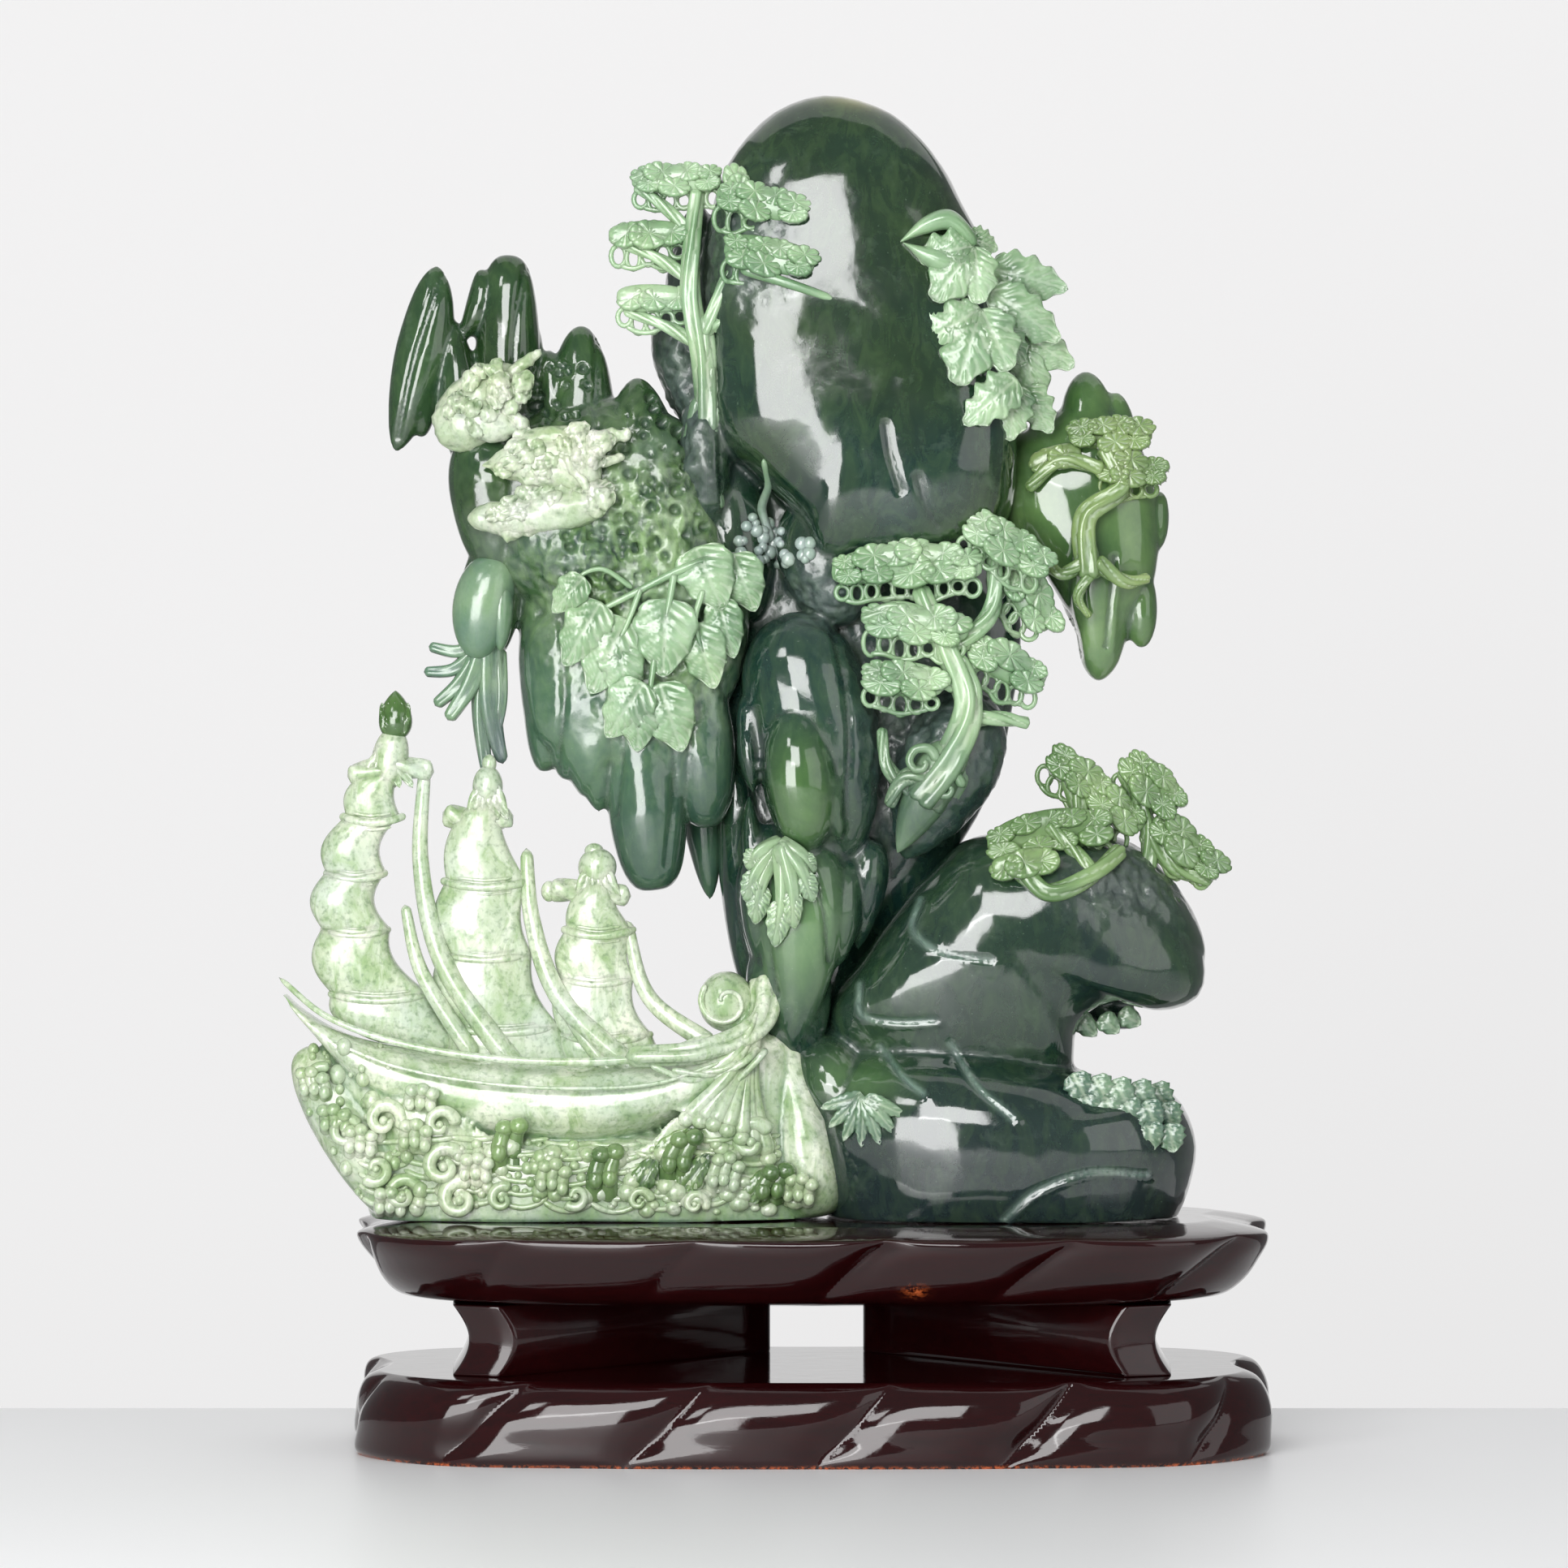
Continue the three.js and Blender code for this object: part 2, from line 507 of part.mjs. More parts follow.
// Leaves that lie over the lower boulder
function boulderLeaves() {
  const made = [];
  const sprays = 5;
  for (let k = 0; k < sprays; k++) {
    const share = k / (sprays - 1);
    const heel = [33.6 + 11 * share, 17 - 2.4 * share, 10.4 - 4.8 * share];
    const tip = [heel[0] + 2.2, heel[1] - 6, heel[2] + 3];
    made.push(leaf(heel, tip, 2.4));
  }
  const ribs = 5;
  for (let k = 0; k < ribs; k++) {
    const turn = THREE.MathUtils.degToRad(195 + 34 * k);
    const tip = [5 + 6 * Math.cos(turn), 14 + 6 * Math.sin(turn), 12.6];
    made.push(lobe([5.4, 15, 9.4], tip, 1.3, 2, { around: 4 }));
  }
  return made;
}

function boat() {
  const rim = [
    [-66.6, 30.2], [-65.4, 28.6], [-60, 25], [-54.4, 22.9], [-46.8, 21.2], [-40.8, 20.2],
    [-32, 19.4], [-24, 19.2], [-15, 20.5], [-9.5, 24], [-6.6, 28],
  ];
  const keel = [
    [-66.4, 29.8], [-63.6, 25], [-60.4, 20.6], [-56.6, 16.4], [-50, 12.6], [-42, 10.2],
    [-34, 9.6], [-26, 9.8], [-16, 12.6], [-9, 18], [-5.4, 26],
  ];
  const hull = { rings: 10, ends: [0.5, 0.25], around: 8 };
  return [
    ribbon(rim, keel, 7, 6.6, hull),
    ovoid([-10.6, 27, 6], 3.6, 3.8, 3.8),
    limb([[-5.6, 30, 5], [-6.4, 24.6, 7], [-13, 21.4, 10.4], [-23, 20.6, 11]], 2.2, 1.6),
    ovoid([-51.4, 62.2, 5], 2.3, 3.4, 2.2),
    lobe([-53, 53, 5], [-51.6, 61, 5], 2.6, 2.2, { ends: [0.3, 0.3] }),
    ovoid([-40.2, 53, 4.6], 2.2, 3, 2.2),
    ovoid([-26.6, 43.2, 4.6], 3, 3, 2.4),
    limb([[-45.8, 50.4, 4.6], [-41, 49, 4.6], [-37, 50, 4.6]], 1.9, 1.6),
    limb([[-32.6, 41, 4.6], [-28, 40.4, 4.6], [-22.4, 40, 4.6]], 1.7, 1.4),
    limb([[-57.6, 54.8, 5], [-52, 56, 5], [-46.8, 55.4, 5]], 1.7, 1.4),
  ];
}

function sails() {
  const tall = ribbon(
    [[-58, 22], [-60, 28], [-60.8, 36], [-60.4, 43], [-58.4, 50], [-56.6, 56.4]],
    [[-38, 20], [-47, 28], [-52.2, 36], [-52.6, 43], [-50.4, 50], [-47.6, 56.4]],
    5, 2.4, { rings: 10, panels: 5, belly: 1.6, bite: 1.5 },
  );
  const middle = ribbon(
    [[-44.6, 17], [-45.6, 24], [-46.2, 33], [-46, 42], [-45, 51.6]],
    [[-24, 17], [-31, 24], [-34.6, 33], [-34.8, 42], [-36.6, 51.6]],
    5, 2.4, { rings: 8, panels: 4, belly: 1.2, bite: 1.1 },
  );
  const low = ribbon(
    [[-31, 17], [-31.4, 23], [-31.4, 30], [-31, 36], [-29.6, 42]],
    [[-12, 17], [-19.6, 23], [-22, 30], [-21.8, 36], [-23.4, 42]],
    5, 2.4, { rings: 8, panels: 4, belly: 0.9, bite: 0.8 },
  );
  return [tall, middle, low];
}

// Masts and sheets, from the heads of the sails down to the deck
function rigging() {
  return [
    limb([[-48, 56, 5], [-48.4, 44, 6], [-46, 33, 7], [-37, 20, 9]], 1.1, 1.5, { rings: 6 }),
    limb([[-52.4, 47, 5], [-50.4, 39, 6], [-45, 29, 8]], 1.1, 1.2),
    limb([[-35.4, 46, 5], [-34.6, 37, 6], [-31.4, 28, 7], [-22, 20, 9]], 1.1, 1.5, { rings: 6 }),
    limb([[-23, 37, 5], [-20.4, 28, 6], [-13, 23, 8]], 1.1, 1.4),
  ];
}

// The sea under the boat: a swell, foam and fluted water at its ends, and rows of curled crests
function sea() {
  const swell = [
    [-63.6, 20.6], [-58, 17], [-50, 13], [-42, 11.4], [-30, 11], [-16, 12],
    [-8, 19], [-3, 24], [0, 16], [1, 2], [-2, -6], [-30, -6], [-52, -6], [-56, 3], [-61, 13],
  ];
  const made = [
    boulder([-26, 6, 0], swell, 13, 15, { around: 18, rings: 6, full: 3 }),
    lobe([-63.4, 21, 5], [-50, 1, 6], 4.8, 5.4, { ends: [0.4, 0.3] }),
    lobe([-55, 17.4, 7], [-38, 5, 9], 5, 5.4),
    lobe([-5.8, 28, 5], [-12.6, 8.4, 11], 4.8, 3.6, { ends: [0.9, 0.25] }),
    lobe([-4.4, 27, 3], [0.8, 0, 5], 4.6, 7, { ends: [0.8, 0.3] }),
  ];
  const rows = [
    { up: 10.6, out: 11, crests: 5, from: -40, to: -17, tall: 1.8 },
    { up: 6, out: 12.6, crests: 6, from: -53, to: -8, tall: 1.7 },
    { up: 1.6, out: 12.6, crests: 6, from: -50, to: -3, tall: 1.6 },
  ];
  for (const { up, out, crests, from, to, tall } of rows) {
    const mid = (from + to) / 2;
    const edge = (lift) => [[from, up + lift + 0.6], [mid, up + lift - 0.8], [to, up + lift + 0.6]];
    const foam = { panels: crests, rings: 4 * crests, belly: 2.2, bite: -0.5 };
    made.push(ribbon(edge(tall), edge(-tall), out - 0.6, 2.6, foam));
  }
  return made;
}

// The whole stone is one solid: everything is joined, and the foot is cut flat where it stands
function stone() {
  const forms = [
    mountain, rearFolds, middleDrops, leftCliff, leftDrops, cranes, vineLeaves, bellFlower,
    upperPine, leafSpray, rightRock, middlePine, rightBoulders, boulderPine,
    boulderLeaves, boat, sails, rigging, sea,
  ].flatMap((make) => make());
  const joined = forms.reduce((whole, form) => whole.add(form));
  const below = new THREE.BoxGeometry(2 * STAND_LENGTH, 2 * STAND_LENGTH, STONE_HEIGHT);
  below.translate(0, 0, SEAT_Z - STONE_HEIGHT / 2);
  return thinned(joined.subtract(solid(below)), SLACK);
}

// The plan of both boards: a long rounded lozenge whose back corners stand out as lobes
const PLAN = [
  [0, -1], [0.45, -0.97], [0.8, -0.84], [0.97, -0.42], [0.96, 0.08],
  [1, 0.5], [0.86, 0.86], [0.4, 0.98], [0, 0.94], [-0.4, 0.98], [-0.86, 0.86],
  [-1, 0.5], [-0.96, 0.08], [-0.97, -0.42], [-0.8, -0.84], [-0.45, -0.97],
];

// A board built of rings of the plan: rows of [inset, z, share of the folds' depth] from the bottom
// up; slanting grooves run round its edge with a smooth swelling between each two
function board(rows, folds) {
  const plan = new THREE.CatmullRomCurve3(
    PLAN.map(
      ([x, y]) => new THREE.Vector3((x * STAND_LENGTH) / 2, (y * STAND_DEPTH) / 2, 0),
    ),
    true,
  ).getSpacedPoints(SLAB_POINTS);
  const low = rows[0][1];
  const rise = rows[rows.length - 1][1] - low;
  const slab = new THREE.CylinderGeometry(1, 1, 1, SLAB_POINTS, rows.length - 1);
  const points = slab.getAttribute("position");
  for (let i = 0; i < points.count; i++) {
    const x = points.getX(i);
    const z = points.getZ(i);
    const row = Math.round((points.getY(i) + 0.5) * (rows.length - 1));
    const [inset, height, share] = rows[row];
    if (Math.hypot(x, z) < 0.5) {
      points.setXYZ(i, 0, 0, height);
      continue;
    }
    const turn = Math.atan2(z, x) / (2 * Math.PI) + 1;
    const step = Math.round(turn * SLAB_POINTS) % SLAB_POINTS;
    const lean = (FOLD_LEAN * (height - low)) / rise;
    const wave = Math.sin((Math.PI * folds * step) / SLAB_POINTS - lean / 2);
    const cut = inset + FOLD_DEPTH * share * Math.pow(1 - Math.abs(wave), 2);
    points.setXYZ(
      i,
      plan[step].x * (1 - (2 * cut) / STAND_LENGTH),
      plan[step].y * (1 - (2 * cut) / STAND_DEPTH),
      height,
    );
  }
  return thinned(solid(slab), SLACK);
}

const baseBoard = () =>
  board(
    [
      [2.5, 0, 0],
      [0.4, 3, 0.5],
      [0, BASE_THICK * 0.3, 1],
      [0, BASE_THICK * 0.55, 1],
      [2.2, BASE_THICK * 0.78, 1],
      [6, BASE_THICK * 0.93, 0.7],
      [BASE_SHOULDER + 3, BASE_THICK, 0],
    ],
    FOLDS,
  );

const topBoard = () =>
  board(
    [
      [TOP_UNDERCUT, TOP_Z, 0],
      [TOP_UNDERCUT * 0.55, TOP_Z + TOP_THICK * 0.1, 0.5],
      [TOP_UNDERCUT * 0.3, TOP_Z + TOP_THICK * 0.32, 1],
      [TOP_UNDERCUT * 0.13, TOP_Z + TOP_THICK * 0.6, 1],
      [0.5, TOP_Z + TOP_THICK * 0.84, 0.9],
      [0.5, TOP_Z + TOP_THICK * 0.95, 0.4],
      [2.5, TOP_Z + TOP_THICK, 0],
      [CROWN_MARGIN, SEAT_Z, 0],
    ],
    FOLDS,
  );

// One half of the waist: its front runs back towards the gap, and its outer end is hollowed
function waist(hand) {
  const outer = STAND_LENGTH / 2 - WAIST_INSET;
  const inner = WAIST_GAP / 2 + hand * GAP_OFFSET;
  const front = STAND_DEPTH / 2 - WAIST_INSET * 0.72;
  const back = STAND_DEPTH / 2 - TOP_UNDERCUT * 0.5;
  const ends = WAIST_WALL;
  const plan = [
    [inner, back - ends], [outer - 0.9 * ends, -front], [outer, 8 - front],
    [outer + 3, 0], [outer - 2, back - 12], [outer - ends, back], [inner, back],
  ];
  const rows = 6;
  const block = new THREE.CylinderGeometry(1, 1, 1, plan.length, rows);
  const points = block.getAttribute("position");
  const middle = [(inner + outer) / 2, back - 0.8 * ends];
  for (let i = 0; i < points.count; i++) {
    const x = points.getX(i);
    const z = points.getZ(i);
    const level = points.getY(i) + 0.5;
    const height = WAIST_Z + level * WAIST_HEIGHT;
    const turn = Math.atan2(z, x) / (2 * Math.PI) + 1;
    const corner = plan[Math.round(turn * plan.length) % plan.length];
    const [across, deep] = Math.hypot(x, z) < 0.5 ? middle : corner;
    const atEnd = across > outer - ends * 0.8 ? 1 : 0;
    const hollow = WAIST_HOLLOW * atEnd * Math.sin(Math.PI * level);
    points.setXYZ(i, hand * (across - hollow), deep, height);
  }
  return solid(block);
}

// A solid as a named mesh with its own finish
function piece(name, shape, finish) {
  const mesh = shape.getMesh();
  const geometry = new THREE.BufferGeometry();
  const step = mesh.numProp;
  const points = new Float32Array(mesh.numVert * 3);
  for (let i = 0; i < mesh.numVert; i++)
    points.set(mesh.vertProperties.subarray(i * step, i * step + 3), i * 3);
  geometry.setAttribute("position", new THREE.BufferAttribute(points, 3));
  geometry.setIndex(new THREE.BufferAttribute(mesh.triVerts, 1));
  geometry.computeVertexNormals();
  const made = new THREE.Mesh(geometry, new THREE.MeshStandardMaterial(finish));
  made.name = name;
  return made;
}

const JADE = { color: 0x4f7a5c, roughness: 0.22, metalness: 0 };
const LACQUER = { color: 0x3a0d10, roughness: 0.18, metalness: 0 };

const carving = new THREE.Group();
carving.add(piece("jade_mountain", stone(), JADE));
carving.add(piece("stand_top", topBoard(), LACQUER));
carving.add(piece("stand_waist_left", waist(-1), LACQUER));
carving.add(piece("stand_waist_right", waist(1), LACQUER));
carving.add(piece("stand_base", baseBoard(), LACQUER));

export default carving;
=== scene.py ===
"""A jade mountain carving on its lacquered stand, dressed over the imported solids.

The stone is laid out on squares, as its solid is: a place is (across, up, out), counted from the
middle of the foot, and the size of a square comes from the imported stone's own height.
"""

import math

import bpy
import numpy as np
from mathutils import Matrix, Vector, noise
from mathutils.bvhtree import BVHTree

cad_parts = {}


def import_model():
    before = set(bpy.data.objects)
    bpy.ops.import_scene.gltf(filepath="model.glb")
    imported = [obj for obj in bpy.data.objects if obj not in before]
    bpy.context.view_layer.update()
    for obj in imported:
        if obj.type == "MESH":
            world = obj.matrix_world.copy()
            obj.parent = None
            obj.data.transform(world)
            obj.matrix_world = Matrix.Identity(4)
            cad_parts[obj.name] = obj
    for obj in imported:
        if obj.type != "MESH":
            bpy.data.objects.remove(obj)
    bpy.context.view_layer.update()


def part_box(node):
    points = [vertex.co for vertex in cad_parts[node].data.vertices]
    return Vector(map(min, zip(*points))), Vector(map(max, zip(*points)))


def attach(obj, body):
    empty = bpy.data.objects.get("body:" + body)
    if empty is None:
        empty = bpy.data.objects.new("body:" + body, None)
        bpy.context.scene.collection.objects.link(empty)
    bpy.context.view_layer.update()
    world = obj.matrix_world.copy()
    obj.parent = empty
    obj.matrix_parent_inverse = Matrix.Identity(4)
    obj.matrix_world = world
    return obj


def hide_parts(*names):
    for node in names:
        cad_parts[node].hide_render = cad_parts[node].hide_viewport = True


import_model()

SQUARES_HIGH = 139.8
stone_low, stone_high = (np.array(corner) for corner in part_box("jade_mountain"))
SEAT = stone_low[2]
SQUARE = (stone_high[2] - SEAT) / SQUARES_HIGH
MM = 0.001
TAU = 2 * math.pi
OUT = np.array([0.0, 0.0, 1.0])
EVEN_STEPS = 24  # in each span of a line whose places are then spaced evenly
BOULDER_AROUND, BOULDER_RINGS = 72, 40
POLISH_SHARE, POLISH_PASSES = 0.6, 4


# Numbers and lines


def scatter(count, seed):
    """Even, repeatable numbers from 0 to 1."""
    return np.random.default_rng(seed).random(count)


def unit(v):
    return v / max(np.linalg.norm(v), 1e-9)


def smooth_line(places, count, closed=False, even=False):
    """`count` + 1 places on a smooth line through the given ones (`count` if it is closed)."""
    p = np.array(places, float)
    if closed:
        ends = np.vstack([p[-1], p, p[0], p[1]])
    else:
        ends = np.vstack([2 * p[0] - p[1], p, 2 * p[-1] - p[-2]])
    spans = len(ends) - 3
    t = np.linspace(0, spans, (spans * EVEN_STEPS if even else count) + 1)
    i = np.minimum(t.astype(int), spans - 1)
    f = (t - i)[:, None]
    p0, p1, p2, p3 = (ends[i + k] for k in range(4))
    gap = lambda a, b: np.sqrt(np.maximum(np.linalg.norm(b - a, axis=1), 1e-6))[:, None]
    d0, d1, d2 = gap(p0, p1), gap(p1, p2), gap(p2, p3)
    m1 = ((p1 - p0) / d0 - (p2 - p0) / (d0 + d1) + (p2 - p1) / d1) * d1
    m2 = ((p2 - p1) / d1 - (p3 - p1) / (d1 + d2) + (p3 - p2) / d2) * d1
    line = (
        (2 * f**3 - 3 * f**2 + 1) * p1
        + (f**3 - 2 * f**2 + f) * m1
        + (3 * f**2 - 2 * f**3) * p2
        + (f**3 - f**2) * m2
    )
    if even:
        run = np.concatenate([[0], np.cumsum(np.linalg.norm(np.diff(line, axis=0), axis=1))])
        want = np.linspace(0, run[-1], count + 1)
        line = np.stack([np.interp(want, run, line[:, k]) for k in range(line.shape[1])], 1)
    return line[:-1] if closed else line


def flat_line(places, count):
    """A smooth line through (across, up) places."""
    return smooth_line([(*p, 0) for p in places], count)


def girth(along, ends):
    """Share of the full width along a form: an end of 0.5 is round, 1 pointed, 0.3 blunt."""
    near, far = ends
    widest = near / (near + far)
    a = np.clip(along, 0, 1)
    return (a / widest) ** near * ((1 - a) / (1 - widest)) ** far


# Forms: each is (places, triangles), closed, with its places in squares


def shell(rings):
    """A closed skin over rings of places; the first and last ring shrink to a point."""
    count, around = rings.shape[:2]
    first, last = rings[0].mean(0), rings[-1].mean(0)
    places = np.vstack([first[None], rings[1:-1].reshape(-1, 3), last[None]])
    turn = np.arange(around)
    nxt = (turn + 1) % around
    faces = [np.stack([np.zeros_like(turn), 1 + nxt, 1 + turn], 1)]
    for r in range(count - 3):
        a, b = 1 + r * around, 1 + (r + 1) * around
        faces.append(np.stack([a + turn, a + nxt, b + turn], 1))
        faces.append(np.stack([a + nxt, b + nxt, b + turn], 1))
    a = 1 + (count - 3) * around
    faces.append(np.stack([a + turn, a + nxt, np.full_like(turn, len(places) - 1)], 1))
    return right_way_out(places, np.vstack(faces))


def right_way_out(places, faces):
    a, b, c = (places[faces[:, k]] for k in range(3))
    if np.einsum("ij,ij->", a, np.cross(b, c)) < 0:
        faces = faces[:, ::-1]
    return places, faces


def steps(rings):
    return (1 - np.cos(np.linspace(0, math.pi, rings + 1))) / 2


def turns(around):
    return np.arange(around) * TAU / around


def lobe(start, end, half, deep, ends=(0.5, 0.5), bow=0.0, around=22, rings=22):
    """A swelling from one place to another, `half` to each side and `deep` in depth."""
    start, end = np.array(start, float), np.array(end, float)
    run = end - start
    side = unit(np.cross(run, OUT))
    front = unit(np.cross(side, run))
    along = steps(rings)[:, None]
    size = girth(along, ends)
    aside = half * size * np.cos(turns(around)) + bow * 4 * along * (1 - along)
    fore = deep * size * np.sin(turns(around))
    spread = aside[..., None] * side + fore[..., None] * front
    return shell(start + along[..., None] * run + spread)


def ovoid(c, half, tall, deep, **shape):
    return lobe((c[0], c[1] - tall, c[2]), (c[0], c[1] + tall, c[2]), half, deep, **shape)


def limb(places, thick, thin, around=12, rings=None, twist=0.0, strands=0):
    """A round limb through several places; strands twist round it as in a rope or old bark."""
    rings = rings or 8 * len(places)
    spine = smooth_line(places, rings)
    ahead = np.gradient(spine, axis=0)
    ahead /= np.linalg.norm(ahead, axis=1, keepdims=True) + 1e-9
    side = np.cross(ahead, np.array([0.0, 0.3, 1.0]))
    side /= np.linalg.norm(side, axis=1, keepdims=True) + 1e-9
    front = np.cross(side, ahead)
    t = np.linspace(0, 1, rings + 1)[:, None]
    angle = turns(around)[None]
    close = np.minimum(1, np.sqrt(np.clip(t * (1 - t) * rings / 2, 0, 1)))
    r = (thick + (thin - thick) * t) * close
    if strands:
        r = r * (0.76 + 0.34 * np.abs(np.cos(strands * angle / 2 + twist * TAU * t)))
    ring = (r * np.cos(angle))[..., None] * side[:, None] + (r * np.sin(angle))[..., None] * front[:, None]
    return shell(spine[:, None] + ring)


def boulder(middle, outline, front, back, full=2.4):
    """A rock with this outline; its swell is an ellipse where `full` is 2, and squarer above that."""
    rim = smooth_line([(u, v, middle[2]) for u, v in outline], BOULDER_AROUND, closed=True, even=True)
    turn = np.linspace(0, math.pi, BOULDER_RINGS + 1)[:, None, None]
    power = lambda x: np.sign(x) * np.abs(x) ** (2 / full)
    spread = power(np.sin(turn))
    swell = power(np.cos(turn))
    out = np.where(swell > 0, front, back) * swell
    centre = np.array(middle, float)
    return shell(centre + spread * (rim[None] - centre) + out * OUT)


def ribbon(first, second, out, deep, ends=(0.25, 0.25), panels=0, belly=0.0, bite=0.0,
           rings=48, around=24, flat=1.0):
    """A padded band between two lines, each bulged by its own amount in every panel."""
    t = np.linspace(0, 1, rings + 1)
    a, b = flat_line(first, rings), flat_line(second, rings)
    way = a - b
    way /= np.linalg.norm(way, axis=1, keepdims=True) + 1e-9
    puff = np.abs(np.sin(math.pi * panels * t))[:, None]
    a = a + belly * puff * way
    b = b + bite * puff * way
    size = girth(t, ends)[:, None]
    angle = turns(around)[None]
    mix = (0.5 + 0.5 * size * np.cos(angle))[..., None]
    places = a[:, None] * (1 - mix) + b[:, None] * mix
    fore = np.sign(np.sin(angle)) * np.abs(np.sin(angle)) ** flat
    places[..., 2] = out + (deep + 0.4 * belly * puff) * size * fore
    return shell(places)


def needles(middle, heading, reach, lobes, lean, squash, phase):
    """A wheel of pine needles: a domed disc of rays round a place, sunk in the middle."""
    dome, groove, scallop, thick, hollow, rim = 0.3, 0.6, 0.04, 0.6, 0.24, 0.16
    rays, rows = 6, 7
    n = lobes * rays
    angle = np.linspace(-TAU / 2, TAU / 2, n + 1)[:n]
    petal = np.abs(np.cos(lobes * math.pi * (angle + phase + TAU / 2) / TAU + math.pi / 2))
    r = np.linspace(0, 1, rows + 1)[1:]
    edge = reach * (1 - scallop * (1 - petal))
    x = edge[:, None] * r * np.cos(angle)[:, None]
    y = edge[:, None] * r * np.sin(angle)[:, None] * squash
    lift = dome * (1 - r**2)[None] - groove * ((1 - petal[:, None]) ** 3) * np.sqrt(r)
    lift = lift - hollow * (1 - r)[None] ** 2 + rim * np.exp(-(((r - 0.86) / 0.1) ** 2))[None]
    ahead = unit(np.array([math.cos(heading), math.sin(heading), lean[0]]))
    normal = unit(np.cross(np.cross(ahead, OUT + np.array([0, lean[1], 0])), -ahead))
    normal = normal if normal[2] > 0 else -normal
    side = np.cross(normal, ahead)
    middle = np.array(middle, float)
    top = middle + x[..., None] * ahead + y[..., None] * side + lift[..., None] * normal
    below = top[:, -1] - thick * normal
    centre = middle + (dome - hollow) * normal
    places = np.vstack([centre[None], (middle - thick * normal)[None], top.reshape(-1, 3), below])
    i = np.arange(n)
    j = (i + 1) % n
    at = lambda k, row: 2 + k * rows + row
    low = 2 + n * rows
    faces = [np.stack([np.zeros_like(i), at(i, 0), at(j, 0)], 1)]
    for row in range(rows - 1):
        faces.append(np.stack([at(i, row), at(i, row + 1), at(j, row)], 1))
        faces.append(np.stack([at(j, row), at(i, row + 1), at(j, row + 1)], 1))
    faces.append(np.stack([at(i, rows - 1), low + i, at(j, rows - 1)], 1))
    faces.append(np.stack([at(j, rows - 1), low + i, low + j], 1))
    faces.append(np.stack([np.ones_like(i), low + j, low + i], 1))
    return right_way_out(places, np.vstack(faces))


def leaf(heel, tip, half, teeth=3, curl=0.5, thick=0.6, rows=26, across=17, lobed=0.06, ends=(0.34, 0.66), veins=7):
    """A leaf with a wavy edge, a sunk midrib and side veins."""
    heel, tip = np.array(heel, float), np.array(tip, float)
    run = tip - heel
    side = unit(np.cross(run, OUT))
    front = unit(np.cross(side, run))
    s = np.linspace(0, 1, rows + 1)[:, None]
    t = np.linspace(-1, 1, across)[None]
    width = half * girth(s, ends) * (1 + lobed * np.cos(TAU * teeth * s) * (s > 0.5 / teeth))
    width[0] = width[-1] = 0
    lines = np.exp(-((((s - 0.25 * np.abs(t)) * veins + 0.5) % 1 - 0.5) / 0.17) ** 2) * (np.abs(t) < 0.9)
    rib = np.exp(-((t * width / 0.3) ** 2))
    ease = np.minimum(1, 14 * s * (1 - s))
    lift = curl * (1 - t**2) * np.sin(math.pi * s) - 0.36 * rib - 0.26 * lines * (1 - rib)
    lift = lift + 0.36 * curl * np.sin(TAU * teeth * s + 1) * np.abs(t) ** 3 * np.sign(t)
    lift = (lift + 0.5 * curl * np.sin(1.5 * math.pi * s)) * ease
    flat = heel + s[..., None] * run + (t * width)[..., None] * side
    top = flat + lift[..., None] * front
    back = flat - (thick * ease * np.sqrt(np.maximum(1 - t**2, 0)))[..., None] * front
    return shell(np.concatenate([top, back[:, -2:0:-1]], 1))


def ring_of(middle, reach, tall, tilt):
    """A small closed loop, as the pierced fringe under a pine pad has."""
    thick, around, count = 0.33, 8, 16
    a = np.arange(count) * TAU / count
    m = np.array(middle, float)
    radial = np.stack([np.cos(a), tall * np.sin(a), tilt * np.sin(a)], 1)
    b = turns(around)
    flat = radial / np.linalg.norm(radial, axis=1, keepdims=True)
    places = (
        m
        + reach * radial[:, None]
        + thick * (np.cos(b)[None, :, None] * flat[:, None] + np.sin(b)[None, :, None] * OUT)
    ).reshape(-1, 3)
    i, j = np.meshgrid(np.arange(count), np.arange(around), indexing="ij")
    p = lambda k, l: (k % count) * around + l % around
    faces = np.vstack([
        np.stack([p(i, j), p(i + 1, j), p(i, j + 1)], -1).reshape(-1, 3),
        np.stack([p(i + 1, j), p(i + 1, j + 1), p(i, j + 1)], -1).reshape(-1, 3),
    ])
    return right_way_out(places, faces)


# Meshes


def world(places):
    places = np.asarray(places, float)
    return np.stack(
        [places[:, 0] * SQUARE, -places[:, 2] * SQUARE, SEAT + places[:, 1] * SQUARE], 1
    )


def squares(points):
    return np.stack(
        [points[:, 0] / SQUARE, (points[:, 2] - SEAT) / SQUARE, -points[:, 1] / SQUARE], 1
    )


def joined(forms):
    places, faces, base = [], [], 0
    for p, f in forms:
        places.append(p)
        faces.append(f + base)
        base += len(p)
    return np.vstack(places), np.vstack(faces)


def mesh_object(name, points, faces):
    mesh = bpy.data.meshes.new(name)
    mesh.vertices.add(len(points))
    mesh.vertices.foreach_set("co", np.asarray(points, np.float32).ravel())
    mesh.loops.add(3 * len(faces))
    mesh.loops.foreach_set("vertex_index", np.asarray(faces, np.int32).ravel())
    mesh.polygons.add(len(faces))
    mesh.polygons.foreach_set("loop_start", np.arange(0, 3 * len(faces), 3, dtype=np.int32))
    mesh.polygons.foreach_set("use_smooth", np.ones(len(faces), bool))
    mesh.update(calc_edges=True)
    made = bpy.data.objects.new(name, mesh)
    bpy.context.scene.collection.objects.link(made)
    return made


def vectors_of(piece, what):
    values = np.empty(3 * len(piece.data.vertices), np.float32)
    piece.data.vertices.foreach_get(what, values)
    return values.reshape(-1, 3).astype(float)


